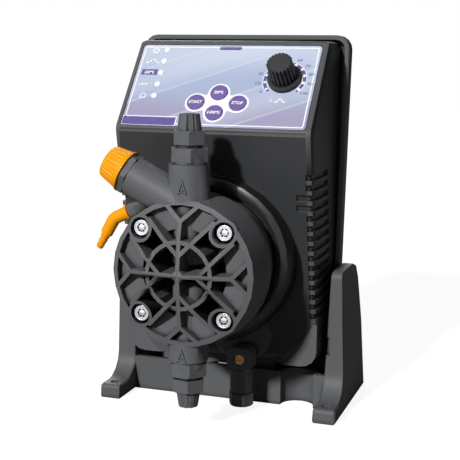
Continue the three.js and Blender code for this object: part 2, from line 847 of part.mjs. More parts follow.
function makeCover() {
  const rimEnd = coverFront + coverRimDepth;
  const rim = deep(coverOutline(0, housingBottom, coverFootCorner), coverFront, rimEnd, coverRimEdge);
  const shellRound = coverCorner - coverShellInset;
  const shellOutline = coverOutline(coverShellInset, housingBottom, shellRound);
  const shell = deep(shellOutline, coverStep, coverBack, coverEdge);
  const recessOutline = coverOutline(coverRimWall, housingBottom - overrun, 0);
  const recess = deep(recessOutline, coverFront - overrun, coverStep);
  const wall = coverShellInset + coverWall;
  const hollowOutline = coverOutline(wall, housingBottom + coverWall, 0);
  const hollow = deep(hollowOutline, coverStep - overrun, coverBack - coverWall);
  const bosses = atCoverScrews(coverBossRadius, coverStep, coverBack - coverWall / 2);
  const seat = coverBack - coverScrewSunk;
  const holes = [
    ...atCoverScrews(coverHoleRadius, coverStep - overrun, seat + overrun),
    ...atCoverScrews(coverScrewHeadRadius + slideGap, seat, coverBack + overrun),
  ];
  return cut(join(cut(join(rim, shell), recess, hollow), ...bosses), ...holes);
}

function makeGasket() {
  const outer = housingHalf - housingWall / 4;
  const inner = housingHalf - housingWall;
  const low = housingBottom + housingHalf - outer;
  const high = housingTop - housingHalf + outer;
  const reach = outer - inner;
  const outside = deep(rectangle(-outer, outer, low, high, housingCornerRadius), housingBack, coverStep);
  const window = rectangle(-inner, inner, low + reach, high - reach, housingCornerRadius - reach);
  return cut(outside, deep(window, housingBack - overrun, coverStep + overrun));
}

function makeCoverScrew() {
  const head = bar(coverScrewHeadRadius, 0, coverScrewHeadHeight, smallSides);
  const shank = bar(coverScrewRadius, -coverScrewLength, 0, smallSides);
  const slot = block(
    -coverScrewHeadRadius,
    coverScrewHeadRadius,
    -screwSlotWidth / 2,
    screwSlotWidth / 2,
    coverScrewHeadHeight - screwSlotDepth,
    coverScrewHeadHeight + overrun,
  );
  return cut(join(head, shank), slot).rotateX(-quarterTurn);
}

addPiece('base_bracket', makeBracket(), blackPlastic);
addPiece('front_housing', makeHousing(), blackPlastic);
addPiece('rear_cover', makeCover(), blackPlastic);
addPiece('cover_gasket', makeGasket(), rubber);
coverScrewSpots.forEach((spot, i) => {
  const screw = makeCoverScrew().translate(spot.x, coverBack - coverScrewSunk, spot.y);
  addPiece(`cover_screw_${i + 1}`, screw, steel);
});

// Control panel
const panelGroup = new THREE.Group();
panelGroup.position.set(0, panelCentreY, panelCentreZ);
panelGroup.rotation.x = panelTilt;
pump.add(panelGroup);
const labelFace = seatGap + labelThickness - labelRecess;

function makeLabel() {
  const half = labelWidth / 2;
  const rise = labelHeight / 2;
  const sheetOutline = rectangle(-half, half, -rise, rise, labelCorner);
  const sheet = prism(sheetOutline, labelFace - labelThickness, labelFace);
  const hole = (radius, spot, sides) =>
    bar(radius + slideGap, -labelRecess, overrun, sides).translate(spot.x, spot.y, 0);
  const keyHoles = Object.values(keySpots).map((spot) => hole(keyRadius, spot, keySides));
  const lampHoles = lampSpots.map((spot) => hole(lampRadius, spot, smallSides));
  const bushingHole = hole(bushingRadius, at(knobAcross, knobUp), hiddenSides);
  return cut(sheet, ...keyHoles, ...lampHoles, bushingHole);
}

// A shaft or bore with one flat side
function flatted(radius, flat, z0, z1, sides) {
  const far = radius + overrun;
  const side = block(-far, far, radius - flat, far, z0 - overrun, z1 + overrun);
  return cut(bar(radius, z0, z1, sides), side);
}

function makeKnob() {
  const foot = labelFace + seatGap;
  const flangeTop = foot + knobFlangeHeight;
  const top = foot + knobHeight;
  const flange = revolve([
    at(0, foot),
    at(knobFlangeRadius, foot),
    at(knobFlangeRadius, flangeTop - knobEdge),
    at(knobFlangeRadius - knobEdge, flangeTop),
    at(0, flangeTop),
  ]);
  const gripOutline = flutedShape(knobGripRadius, knobFluteDepth, knobFlutes);
  const fluted = prism(gripOutline, flangeTop - knobEdge * 2, top, knobEdge);
  const grip = tapered(fluted, flangeTop, top, knobTopShare);
  const boreRadius = spindleRadius + slideGap;
  const bore = flatted(boreRadius, spindleFlat, foot - overrun, spindleReach + seatGap, hiddenSides);
  return cut(join(flange, grip), bore);
}

function makeDial() {
  const half = dialBodyWidth / 2;
  const top = -boardDepth - boardThickness - seatGap;
  const body = block(-half, half, -half, half, top - dialBodyDepth, top);
  const bushing = bar(bushingRadius, top - overrun / 2, labelFace, hiddenSides);
  const bore = bar(spindleRadius + slideGap, top - dialBore - seatGap, overrun, hiddenSides);
  return cut(join(body, bushing), bore);
}

function makeSpindle() {
  const foot = -boardDepth - boardThickness - seatGap - dialBore;
  return flatted(spindleRadius, spindleFlat, foot, spindleReach, hiddenSides);
}

function makeKey() {
  const flangeTop = -labelRecess + seatGap - slideGap;
  const flangeFoot = flangeTop - keyFlangeHeight;
  const stemFoot = switchHeight - boardDepth + keyStemGap;
  return revolve([
    at(0, stemFoot),
    at(keyStemRadius, stemFoot),
    at(keyStemRadius, flangeFoot),
    at(keyFlangeRadius, flangeFoot),
    at(keyFlangeRadius, flangeTop),
    at(keyRadius, flangeTop),
    at(keyRadius, keyRise - keyEdge),
    at(keyRadius - keyEdge, keyRise),
    at(0, keyRise),
  ], keySides);
}

function makeLamp() {
  const foot = seatGap - boardDepth;
  const shoulder = foot + lampFlangeHeight;
  const tipCentre = labelFace + lampTip - lampRadius;
  const tip = new THREE.Path().absarc(0, tipCentre, lampRadius, 0, quarterTurn, false);
  const flange = [at(0, foot), at(lampFlangeRadius, foot), at(lampFlangeRadius, shoulder)];
  return revolve([...flange, at(lampRadius, shoulder), ...tip.getPoints(1)], smallSides);
}

function makeBoard() {
  const half = boardWidth / 2;
  const rise = boardHeight / 2;
  const foot = -boardDepth - boardThickness;
  const sheet = block(-half, half, -rise, rise, foot, -boardDepth);
  const side = switchWidth / 2;
  const switches = Object.values(keySpots).map((spot) =>
    block(-side, side, -side, side, foot, switchHeight - boardDepth).translate(spot.x, spot.y, 0),
  );
  const hole = bar(bushingRadius + slideGap, foot - overrun, 0, hiddenSides);
  return cut(join(sheet, ...switches), hole.translate(knobAcross, knobUp, 0));
}

addPiece('control_label', makeLabel(), printedFilm, panelGroup);
addPiece('control_board', makeBoard(), boardLaminate, panelGroup);
addPiece('potentiometer', makeDial().translate(knobAcross, knobUp, 0), steel, panelGroup);
addPiece('potentiometer_shaft', makeSpindle().translate(knobAcross, knobUp, 0), steel, panelGroup);
addPiece('control_knob', makeKnob().translate(knobAcross, knobUp, 0), knobPlastic, panelGroup);
Object.entries(keySpots).forEach(([name, spot]) => {
  addPiece(`key_${name}`, makeKey().translate(spot.x, spot.y, 0), keyFilm, panelGroup);
});
lampNames.forEach((name, i) => {
  addPiece(`led_${name}`, makeLamp().translate(lampSpots[i].x, lampSpots[i].y, 0), lampPlastic, panelGroup);
});

// Pump head and what lies behind it. In this frame +Z is towards the viewer.
const headGroup = new THREE.Group();
headGroup.position.set(0, collarSeat, headAxisHeight);
headGroup.rotation.x = quarterTurn;
pump.add(headGroup);
const diaphragmFront = backplateThickness + diaphragmThickness;
const domeAt = (radius) => hubFront - domeRadius + Math.sqrt(domeRadius ** 2 - radius ** 2);
const atEachScrew = (make) => headScrewSpots.map((spot) => make().translate(spot.x, spot.y, 0));

function makeBackplate() {
  const holes = atEachScrew(() => bar(headScrewHole, -overrun, backplateThickness + overrun, smallSides));
  return cut(ring(backplateRadius, backplateBore, 0, backplateThickness, fineSides), ...holes);
}

function makeDiaphragm() {
  return ring(diaphragmRadius, pistonRadius + slideGap, backplateThickness, diaphragmFront);
}

function headBody() {
  const edge = ringRadius - headEdge;
  const profile = [
    at(0, backplateThickness),
    at(headNeckRadius, backplateThickness),
    at(headNeckRadius, headNeckFront),
    at(headBodyRadius - headEdge, headNeckFront),
    at(headBodyRadius, headNeckFront + headEdge),
    at(headBodyRadius, headBodyFront),
    at(ringRadius, domeAt(ringRadius) - headEdge),
    at(edge, plateauFront),
    at(0, plateauFront),
  ];
  return revolve(profile, fineSides);
}

// A straight rib between two points, as tall as the hub
function rib(start, end) {
  const span = end.clone().sub(start);
  const half = (span.length() + ribWidth / 2) / 2;
  const wall = block(-half, half, -ribWidth / 2, ribWidth / 2, pocketFloor - overrun, hubFront + overrun);
  return wall.rotateZ(span.angle()).translate((start.x + end.x) / 2, (start.y + end.y) / 2, 0);
}

// Ribs of one quarter: a cross rib that forks, and the two tangents of a screw boss
function quarterRibs() {
  const fork = at(forkRadius, 0);
  const shift = tangentMeet / 2;
  const boss = headBossAcross;
  const ribs = [
    rib(at(0, 0), fork),
    rib(fork, at(forkEnd, forkSpread)),
    rib(fork, at(forkEnd, -forkSpread)),
    rib(at(tangentMeet, 0), at(boss + shift, boss - shift)),
    rib(at(0, tangentMeet), at(boss - shift, boss + shift)),
  ];
  return join(...ribs);
}

// The web of ribs, rings and screw bosses, trimmed to a shallow dome
function headRibs() {
  const top = hubFront + overrun;
  const foot = pocketFloor - overrun;
  const quarter = quarterRibs();
  const quarters = Array.from({ length: 4 }, (_, i) => quarter.clone().rotateZ(i * quarterTurn));
  const outerRing = ring(ringRadius, ringRadius - ringWidth, foot, top, fineSides);
  const innerRing = ring(innerRingRadius, innerRingRadius - innerRingWidth, foot, top, fineSides);
  const hub = bar(hubRadius, foot, top, hubSides).rotateZ(halfTurn / hubSides);
  const bosses = atEachScrew(() => bar(headBossRadius, foot, top));
  const web = join(outerRing, innerRing, hub, ...quarters, ...bosses);
  const reach = headBossAcross * Math.SQRT2 + headBossRadius + overrun;
  const crown = Array.from({ length: domeSteps + 1 }, (_, i) => {
    const radius = reach * (1 - i / domeSteps);
    return at(radius, domeAt(radius));
  });
  return common(web, revolve([at(0, foot), at(reach, foot), ...crown]));
}

// A round bar along the head's upright axis, at the depth of the valves
function upright(radius, from, to, sides = roundSides) {
  return bar(radius, from, to, sides).rotateX(-quarterTurn).translate(0, 0, valveAxis);
}

// From the frame of the bleed valve, and of the drain elbow, to the head's frame
const towardsBleed = new THREE.Euler(0, -quarterTurn, -bleedTilt, 'ZYX');
const towardsDrain = new THREE.Euler(0, -quarterTurn, drainTilt, 'ZYX');
const turned = (geometry, euler) =>
  geometry.applyMatrix4(new THREE.Matrix4().makeRotationFromEuler(euler));
const fromBleed = (geometry) => turned(geometry, towardsBleed).translate(0, bleedStart, valveAxis);
const fromDrain = (geometry) => turned(geometry, towardsDrain).translate(-drainAcross, drainUp, valveAxis);

function makeHead() {
  const top = hubFront + overrun;
  const inside = ringRadius - ringWidth / 2;
  const middle = bar(plateauRadius, pocketFloor, top, fineSides);
  const strips = [halfTurn / 4, -halfTurn / 4].map((turn) =>
    block(-inside, inside, -diagonalWidth / 2, diagonalWidth / 2, pocketFloor, top).rotateZ(turn),
  );
  const recess = common(join(middle, ...strips), bar(inside, pocketFloor, top, fineSides));
  const channels = [
    upright(channelRadius, channelStart, inside),
    upright(channelRadius, -inside, -channelStart),
  ];
  const core = bar(inside, 0, top, fineSides);
  const ports = cut(
    join(
      upright(portRadius, innerRingRadius, dischargePortEnd),
      upright(portRadius, -suctionPortEnd, -innerRingRadius),
      fromBleed(bar(bleedBossRadius, 0, bleedBossEnd)),
      fromDrain(bar(drainBossRadius, -drainBossLength, 0, smallSides)),
    ),
    core,
  );
  const solid = join(cut(headBody(), recess), ...channels, headRibs(), ports);

  const chamber = bar(chamberRadius, 0, diaphragmFront + chamberDepth);
  const seat = bar(diaphragmRadius + slideGap, 0, diaphragmFront);
  const passages = [
    upright(portPassage, chamberPassageRise - portPassage, dischargePortEnd - overrun, smallSides),
    upright(portPassage, overrun - suctionPortEnd, portPassage - chamberPassageRise, smallSides),
    bar(portPassage, 0, valveAxis, smallSides).translate(0, chamberPassageRise, 0),
    bar(portPassage, 0, valveAxis, smallSides).translate(0, -chamberPassageRise, 0),
    fromBleed(bar(bleedPassage, 0, bleedBossEnd - overrun, smallSides)),
    fromDrain(bar(elbowBore, -drainPassageLength, overrun, smallSides)),
  ];
  const pockets = [
    upright(portPocketRadius, dischargePortEnd - portPocketDepth, dischargePortEnd + overrun, hiddenSides),
    upright(portPocketRadius, -suctionPortEnd - overrun, portPocketDepth - suctionPortEnd, hiddenSides),
    fromBleed(bar(bleedPocketRadius, bleedBossEnd - bleedPocketDepth, bleedBossEnd + overrun, hiddenSides)),
    fromDrain(bar(elbowSpigot + slideGap, -elbowSpigotLength - slideGap, overrun, smallSides)),
  ];
  const screwHoles = atEachScrew(() => bar(headScrewHole, 0, headScrewSeat + overrun, smallSides));
  const screwPockets = atEachScrew(() => bar(headScrewPocket, headScrewSeat, top));
  return cut(solid, chamber, seat, ...passages, ...pockets, ...screwHoles, ...screwPockets);
}

function makeHeadScrew() {
  const top = headScrewSeat + headScrewHeadHeight;
  const head = bar(headScrewHeadRadius, headScrewSeat, top);
  const shank = bar(headScrewRadius, -headScrewEnd, headScrewSeat, smallSides);
  const socket = prism(hexagon(headScrewSocket * 2), top - headScrewSocketDepth, top + overrun);
  return cut(join(head, shank), socket);
}

addPiece('head_backplate', makeBackplate(), headPlastic, headGroup);
addPiece('diaphragm', makeDiaphragm(), fluoropolymer, headGroup);
addPiece('pump_head', makeHead(), headPlastic, headGroup);
headScrewSpots.forEach((spot, i) => {
  addPiece(`head_screw_${i + 1}`, makeHeadScrew().translate(spot.x, spot.y, 0), steel, headGroup);
});

// Solenoid, behind the socket's floor
const yokeFront = -collarFloor;
const yokeBack = yokeFront - yokeDepth;
const coreFront = yokeFront - yokePlate;
const coreBack = coreFront - coreDepth;
const armatureFront = coreBack - airGap;
const springFront = armatureFront + springLength;

function makeYoke() {
  const half = yokeWidth / 2;
  const window = half - yokeSide;
  const frame = block(-half, half, -half, half, yokeBack, yokeFront);
  const opening = block(-window, window, -half - overrun, half + overrun, yokeBack + yokePlate, coreFront);
  const bushHole = bar(bushRadius + slideGap, coreFront - overrun, yokeFront + overrun, hiddenSides);
  const armatureHole = bar(armatureRadius + slideGap, yokeBack - overrun, yokeBack + yokePlate + overrun);
  return cut(frame, opening, bushHole, armatureHole);
}

function makeCore() {
  const hole = shaftRadius + slideGap;
  return revolve([
    at(springSpace, coreBack),
    at(coreRadius, coreBack),
    at(coreRadius, coreFront),
    at(hole, coreFront),
    at(hole, springFront + seatGap),
    at(springSpace, springFront + seatGap),
    at(springSpace, coreBack),
  ], hiddenSides);
}

function makeArmature() {
  const disc = diaphragmFront - pistonHeight;
  return revolve([
    at(0, armatureFront - armatureLength),
    at(armatureRadius, armatureFront - armatureLength),
    at(armatureRadius, armatureFront),
    at(shaftRadius, armatureFront),
    at(shaftRadius, disc),
    at(pistonRadius, disc),
    at(pistonRadius, diaphragmFront),
    at(0, diaphragmFront),
  ]);
}

function makeBush() {
  const hole = shaftRadius + slideGap;
  return revolve([
    at(hole, coreFront),
    at(bushRadius, coreFront),
    at(bushRadius, 0),
    at(bushFlangeRadius, 0),
    at(bushFlangeRadius, bushFlangeHeight),
    at(hole, bushFlangeHeight),
    at(hole, coreFront),
  ], hiddenSides);
}

// The wire's centre line, from the armature to the bottom of the core's bore
const springStart = armatureFront + seatGap + springWire / 2;
const springRise = springLength - seatGap - springWire;

class Helix extends THREE.Curve {
  getPoint(share) {
    const spot = at(springRadius, 0).rotateAround(at(0, 0), share * springTurns * fullTurn);
    return new THREE.Vector3(spot.x, spot.y, springStart + springRise * share);
  }
}

function makeSpring() {
  const rim = Array.from({ length: springSides }, (_, i) => {
    return at(springWire / 2, 0).rotateAround(at(0, 0), (i * fullTurn) / springSides);
  });
  const gap = springRise / springTurns - springWire;
  console.log(`Least gap of the return spring to itself: ${gap.toFixed(2)} mm`);
  return new THREE.ExtrudeGeometry(new THREE.Shape(rim), {
    extrudePath: new Helix(),
    steps: springTurns * springSteps,
  });
}

addPiece('solenoid_yoke', makeYoke(), iron, headGroup);
const coil = ring(coilRadius, coilBore, yokeBack + yokePlate, coreFront);
addPiece('solenoid_coil', coil, copperWinding, headGroup);
addPiece('solenoid_core', makeCore(), iron, headGroup);
addPiece('armature_shaft', makeArmature(), steel, headGroup);
addPiece('return_spring', makeSpring(), steel, headGroup);
addPiece('shaft_bush', makeBush(), brass, headGroup);

// Valves and hose fittings. Both groups measure outwards from the head's axis.
const sealCentre = portPocketRadius - slideGap - sealSection / 2;
const stubRadius = portPocketRadius - slideGap;
const ballRest = Math.sqrt(ballRadius ** 2 - valveBore ** 2) + ballGap;

function sealGroove(mouth) {
  const middle = mouth - sealSetback;
  const reach = sealSection / 2 + ballGap;
  return ring(stubRadius + overrun, sealCentre - reach, middle - reach, middle + reach, hiddenSides);
}

function makeSeal(mouth) {
  const seal = new THREE.TorusGeometry(sealCentre, sealSection / 2, springSides, hiddenSides);
  return seal.translate(0, 0, mouth - sealSetback);
}

// Where the hose nut starts, above a port's mouth
const nutFoot = (mouth) => mouth + valveFlangeHeight + valveHexHeight + nutNeckHeight;

function makeValveBody(mouth, turn) {
  const foot = mouth - valveStubLength;
  const hexFoot = mouth + valveFlangeHeight;
  const shoulder = hexFoot + valveHexHeight;
  const neck = nutFoot(mouth);
  const outside = join(
    bar(stubRadius, foot, mouth + overrun, hiddenSides),
    bar(valveFlangeRadius, mouth, hexFoot + overrun),
    hexBar(valveHexAcross, hexFoot, shoulder).rotateZ(turn),
    bar(nutNeckRadius, shoulder - overrun, neck),
    bar(valveSpigotRadius, neck - overrun, neck + valveSpigotHeight, hiddenSides),
  );
  const bore = bar(valveBore, foot - overrun, neck + overrun, hiddenSides);
  const cage = bar(ballCageRadius, foot + cageRise, foot + cageRise + cageHeight, hiddenSides);
  const socket = bar(hoseBore, neck, neck + valveSpigotHeight + overrun, hiddenSides);
  return cut(outside, bore, cage, sealGroove(mouth), socket);
}

function makeHoseNut(mouth, turn) {
  const foot = nutFoot(mouth);
  const top = foot + nutHexHeight;
  const threadEnd = foot + valveSpigotHeight + slideGap;
  const thread = bar(valveSpigotRadius + slideGap, foot - overrun, threadEnd, hiddenSides);
  const bore = bar(hoseBore, foot, top + overrun, hiddenSides);
  return cut(hexBar(nutHexAcross, foot, top).rotateZ(turn), thread, bore);
}

function makeCollet(mouth) {
  const foot = nutFoot(mouth) + nutHexHeight;
  const top = foot + colletHeight;
  const fluted = prism(flutedShape(colletRadius, colletFluteDepth, colletFlutes), foot, top);
  const bore = bar(hoseBore, foot - overrun, top + overrun, hiddenSides);
  return cut(tapered(fluted, foot, top, colletTopShare), bore);
}

// The ball rests on the lower end of its cage, which is the outer end at the suction side
function addPort(name, mouth, flip) {
  const group = new THREE.Group();
  group.position.set(0, collarSeat - valveAxis, headAxisHeight);
  group.rotation.x = flip > 0 ? 0 : halfTurn;
  pump.add(group);
  const cageFoot = mouth - valveStubLength + cageRise;
  const rest = flip > 0 ? cageFoot + ballRest : cageFoot + cageHeight - ballRest;
  const ball = new THREE.SphereGeometry(ballRadius, smallSides, smallSides).rotateX(quarterTurn);
  addPiece(`${name}_valve_body`, makeValveBody(mouth, valveHexTurn * flip), headPlastic, group);
  addPiece(`${name}_ball`, ball.translate(0, 0, rest), ceramic, group);
  addPiece(`${name}_o_ring`, makeSeal(mouth), rubber, group);
  addPiece(`${name}_nut`, makeHoseNut(mouth, nutHexTurn * flip), headPlastic, group);
  addPiece(`${name}_collet`, makeCollet(mouth), headPlastic, group);
}

addPort('discharge', dischargePortEnd, 1);
addPort('suction', suctionPortEnd, -1);

// Bleed valve: a needle in a hexagon-headed body, lifted by the orange cap
const bleedGroup = new THREE.Group();
bleedGroup.position.set(0, bleedStart, valveAxis);
bleedGroup.rotation.copy(towardsBleed);
headGroup.add(bleedGroup);

function makeBleedBody() {
  const shoulder = bleedBossEnd + seatGap + bleedHexHeight;
  const outside = join(
    bar(stubRadius, bleedBossEnd - bleedStubLength, shoulder, hiddenSides),
    hexBar(bleedHexAcross, bleedBossEnd + seatGap, shoulder),
    bar(bleedNeckRadius, shoulder - overrun, shoulder + bleedNeckHeight, hiddenSides),
  );
  const bore = bar(bleedNeedleRadius + slideGap, 0, capStart + capHeight, hiddenSides);
  return cut(outside, bore, sealGroove(bleedBossEnd));
}

function makeNeedle() {
  const floor = bleedBossEnd - bleedPocketDepth + seatGap;
  const top = capStart + capBoreDepth - seatGap;
  return revolve([
    at(0, floor - needleTipLength),
    at(bleedNeedleTip, floor - needleTipLength),
    at(bleedNeedleTip, floor),
    at(bleedNeedleRadius, floor + needleTipLength),
    at(bleedNeedleRadius, top),
    at(0, top),
  ], hiddenSides);
}

function makeCap() {
  const top = capStart + capHeight;
  const skirtTop = capStart + capSkirtHeight;
  const skirt = revolve([
    at(0, capStart),
    at(capSkirtRadius, capStart),
    at(capSkirtRadius, skirtTop),
    at(capRadius - capFluteDepth, skirtTop + capSkirtHeight),
    at(0, skirtTop + capSkirtHeight),
  ]);
  const fluted = prism(flutedShape(capRadius, capFluteDepth, capFlutes), capStart, top, capTopEdge);
  const grip = tapered(fluted, capStart, top, capTopShare);
  const above = bar(capSkirtRadius, skirtTop, top + overrun);
  const hollow = bar(capSkirtRadius - capSkirtWall, capStart - overrun, capStart + capSkirtDepth);
  const bore = bar(bleedNeedleRadius + slideGap, capStart, capStart + capBoreDepth, hiddenSides);
  return cut(join(skirt, common(grip, above)), hollow, bore);
}

addPiece('bleed_body', makeBleedBody(), headPlastic, bleedGroup);
addPiece('bleed_needle', makeNeedle(), headPlastic, bleedGroup);
addPiece('bleed_o_ring', makeSeal(bleedBossEnd), rubber, bleedGroup);
addPiece('bleed_cap', makeCap(), orangePlastic, bleedGroup);

// Drain elbow, which swivels in its boss
const drainGroup = new THREE.Group();
drainGroup.position.set(-drainAcross, drainUp, valveAxis);
drainGroup.rotation.copy(towardsDrain);
headGroup.add(drainGroup);

function makeElbow() {
  const bend = seatGap + elbowFirstLeg;
  const onSecondLeg = (geometry) => geometry.rotateX(elbowTurn).translate(0, 0, bend);
  const barb = [at(0, elbowSecondLeg - barbRingPitch), at(barbRadius, elbowSecondLeg - barbRingPitch)];
  for (let i = 1; i <= barbRings; i += 1) {
    const height = elbowSecondLeg + i * barbRingPitch;
    const radius = barbRadius - ((barbRadius - barbTipRadius) * i) / (barbRings + 1);
    const ringTop = height + barbRingPitch / 2;
    barb.push(at(radius, height), at(radius + barbRingRise, height), at(radius, ringTop));
  }
  const end = elbowSecondLeg + barbLength;
  barb.push(at(barbTipRadius, end), at(0, end));
  const outside = join(
    bar(elbowSpigot, -elbowSpigotLength, bend, smallSides),
    bar(elbowFlangeRadius, seatGap, seatGap + elbowFlangeHeight, elbowSides),
    bar(elbowRadius, seatGap, bend, elbowSides),
    new THREE.SphereGeometry(elbowKnuckle, elbowSides, elbowSides / 2).translate(0, 0, bend),
    onSecondLeg(bar(elbowRadius, 0, elbowSecondLeg, elbowSides, elbowEndRadius)),
    onSecondLeg(revolve(barb, elbowSides)),
  );
  const firstBore = bar(elbowBore, -elbowSpigotLength - overrun, bend, smallSides);
  const turnBore = new THREE.SphereGeometry(elbowSpigot, smallSides, smallSides).translate(0, 0, bend);
  const secondBore = onSecondLeg(bar(elbowBore, 0, end + overrun, smallSides));
  return cut(outside, firstBore, turnBore, secondBore);
}

addPiece('drain_elbow', makeElbow(), orangePlastic, drainGroup);

// Signal connector under the head
const plugBack = plugFront + plugDepth;
const plugMiddle = plugBottom + plugHeight / 2;

function plugOutline() {
  const half = plugWidth / 2;
  const top = plugBottom + plugHeight;
  const lowTurn = plugBottom + plugChamfer;
  const highTurn = top - plugChamfer;
  const inner = half - plugChamfer;
  return new THREE.Shape([
    at(-inner, plugBottom),
    at(inner, plugBottom),
    at(half, lowTurn),
    at(half, highTurn),
    at(inner, top),
    at(-inner, top),
    at(-half, highTurn),
    at(-half, lowTurn),
  ]);
}

// A block centred across the plug and on its middle height
const plugBlock = (half, y0, y1) => block(-half, half, y0, y1, plugMiddle - half, plugMiddle + half);

function makePlug() {
  const stemTop = plugMiddle - plugSocketFlangeHalf - slideGap;
  const stem = bar(plugStemRadius, plugStemBottom, stemTop).translate(0, plugAxisY, 0);
  const cableBore = bar(hoseBore, plugStemBottom - overrun, plugStemBottom + plugBore, smallSides);
  const seat = plugFront + plugScrewSunk + plugScrewHead;
  const screwPocket = barAlongY(plugScrewRadius + slideGap, plugFront - overrun, seat);
  const screwHole = barAlongY(plugScrewShank + slideGap, plugFront, plugBack, smallSides);
  return cut(
    join(deep(plugOutline(), plugFront, plugBack, plugEdge), stem),
    cableBore.translate(0, plugAxisY, 0),
    screwPocket.translate(0, 0, plugScrewRise),
    screwHole.translate(0, 0, plugScrewRise),
    plugBlock(plugSocketHalf + slideGap, plugBack - plugSocketReach - slideGap, plugBack + overrun),
  );
}

function makeSocket() {
  const flange = plugBlock(plugSocketFlangeHalf, plugBack, plugPadFront);
  const nose = plugBlock(plugSocketHalf, plugBack - plugSocketReach, plugBack);
  const hole = barAlongY(plugScrewShank + slideGap, plugFront, plugPadFront + overrun, smallSides);
  return cut(join(flange, nose), hole.translate(0, 0, plugScrewRise));
}

function makePlugScrew() {
  const face = plugFront + plugScrewSunk;
  const seat = face + plugScrewHead;
  const head = barAlongY(plugScrewRadius, face, seat);
  const shank = barAlongY(plugScrewShank, seat, seat + plugScrewLength, smallSides);
  const half = screwSlotWidth / 2;
  const slotFloor = face + screwSlotDepth / 2;
  const slot = block(-plugScrewRadius, plugScrewRadius, face - overrun, slotFloor, -half, half);
  return cut(join(head, shank), slot).translate(0, 0, plugScrewRise);
}

// A hexagonal nut for a cable, hanging from z = 0 on a round neck
function hangingNut(acrossFlats, height, neckHeight, neckRadius) {
  const nut = hexBar(acrossFlats, neckHeight, neckHeight + height);
  return join(nut, bar(neckRadius, 0, neckHeight + height / 2)).rotateX(halfTurn);
}

function makePlugGland() {
  const neckRadius = plugGlandAcross / 2 - plugGlandNeck;
  const nut = hangingNut(plugGlandAcross, plugGlandHeight, plugGlandNeck, neckRadius);
  const depth = plugGlandHeight + plugGlandNeck;
  const bore = bar(hoseBore, -depth - overrun, overrun, smallSides);
  return cut(nut, bore).translate(0, plugAxisY, plugStemBottom);
}

function makePowerGland() {
  const nut = hangingNut(glandHexAcross, glandHexHeight, plugGlandNeck, glandHexAcross / 2);
  const whole = join(nut, bar(glandThreadRadius, -glandHexHeight, glandThreadLength, hiddenSides));
  return cut(whole, bar(glandBore, -glandHexHeight * 2, glandThreadLength + overrun, smallSides));
}

const plugPieces = [
  ['connector_socket', makeSocket(), blackPlastic],
  ['connector_plug', makePlug(), blackPlastic],
  ['connector_gland', makePlugGland(), blackPlastic],
  ['connector_screw', makePlugScrew(), brass],
];
plugPieces.forEach(([name, geometry, material]) => {
  addPiece(name, geometry.translate(plugAcross, 0, 0), material);
});

// Mains gland under the housing, above the bracket's cable niche
const glandNutFoot = housingBottom + housingWall;
const glandNutTop = glandNutFoot + glandNutHeight;
const glandNut = ring(glandNutRadius, glandThreadRadius + slideGap, glandNutFoot, glandNutTop, hiddenSides);
addPiece('power_gland', makePowerGland().translate(glandAcross, glandY, housingBottom), blackPlastic);
addPiece('power_gland_nut', glandNut.translate(glandAcross, glandY, 0), blackPlastic);

export default pump;
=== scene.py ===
import json
import math

import bmesh
import bpy
from mathutils import Matrix, Vector

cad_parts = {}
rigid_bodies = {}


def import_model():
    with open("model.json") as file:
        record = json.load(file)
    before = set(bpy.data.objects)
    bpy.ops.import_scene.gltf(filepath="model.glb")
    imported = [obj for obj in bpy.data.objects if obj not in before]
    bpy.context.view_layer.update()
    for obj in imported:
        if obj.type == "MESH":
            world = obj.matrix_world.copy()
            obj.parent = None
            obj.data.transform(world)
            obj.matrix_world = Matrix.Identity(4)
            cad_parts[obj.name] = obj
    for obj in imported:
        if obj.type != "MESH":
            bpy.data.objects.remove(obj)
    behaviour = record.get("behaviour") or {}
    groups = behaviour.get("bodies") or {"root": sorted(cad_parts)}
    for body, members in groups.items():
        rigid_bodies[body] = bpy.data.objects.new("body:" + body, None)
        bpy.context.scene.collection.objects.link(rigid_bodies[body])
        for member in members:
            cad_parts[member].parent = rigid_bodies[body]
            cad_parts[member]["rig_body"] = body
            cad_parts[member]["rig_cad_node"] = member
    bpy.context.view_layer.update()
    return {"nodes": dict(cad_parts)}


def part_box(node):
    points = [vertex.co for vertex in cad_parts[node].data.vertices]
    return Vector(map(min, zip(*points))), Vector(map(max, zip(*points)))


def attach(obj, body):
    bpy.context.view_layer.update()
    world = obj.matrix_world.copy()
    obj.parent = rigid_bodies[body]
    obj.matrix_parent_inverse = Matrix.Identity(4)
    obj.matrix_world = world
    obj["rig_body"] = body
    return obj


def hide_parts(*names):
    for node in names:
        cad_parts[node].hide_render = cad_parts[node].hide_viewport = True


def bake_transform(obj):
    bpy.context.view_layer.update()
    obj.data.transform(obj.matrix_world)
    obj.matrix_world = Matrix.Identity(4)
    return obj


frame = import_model()

mm = 0.001
scene = bpy.context.scene
scene.view_settings.view_transform = "Standard"

# camera: fitted to the edges of the photograph, which is 460 by 460
cameraView = {"place": (0.16652, -0.50908, 0.17561), "yaw": 18.522, "pitch": 9.399, "roll": 0.664, "lens": 81.19,
              "sensor": 36.0}


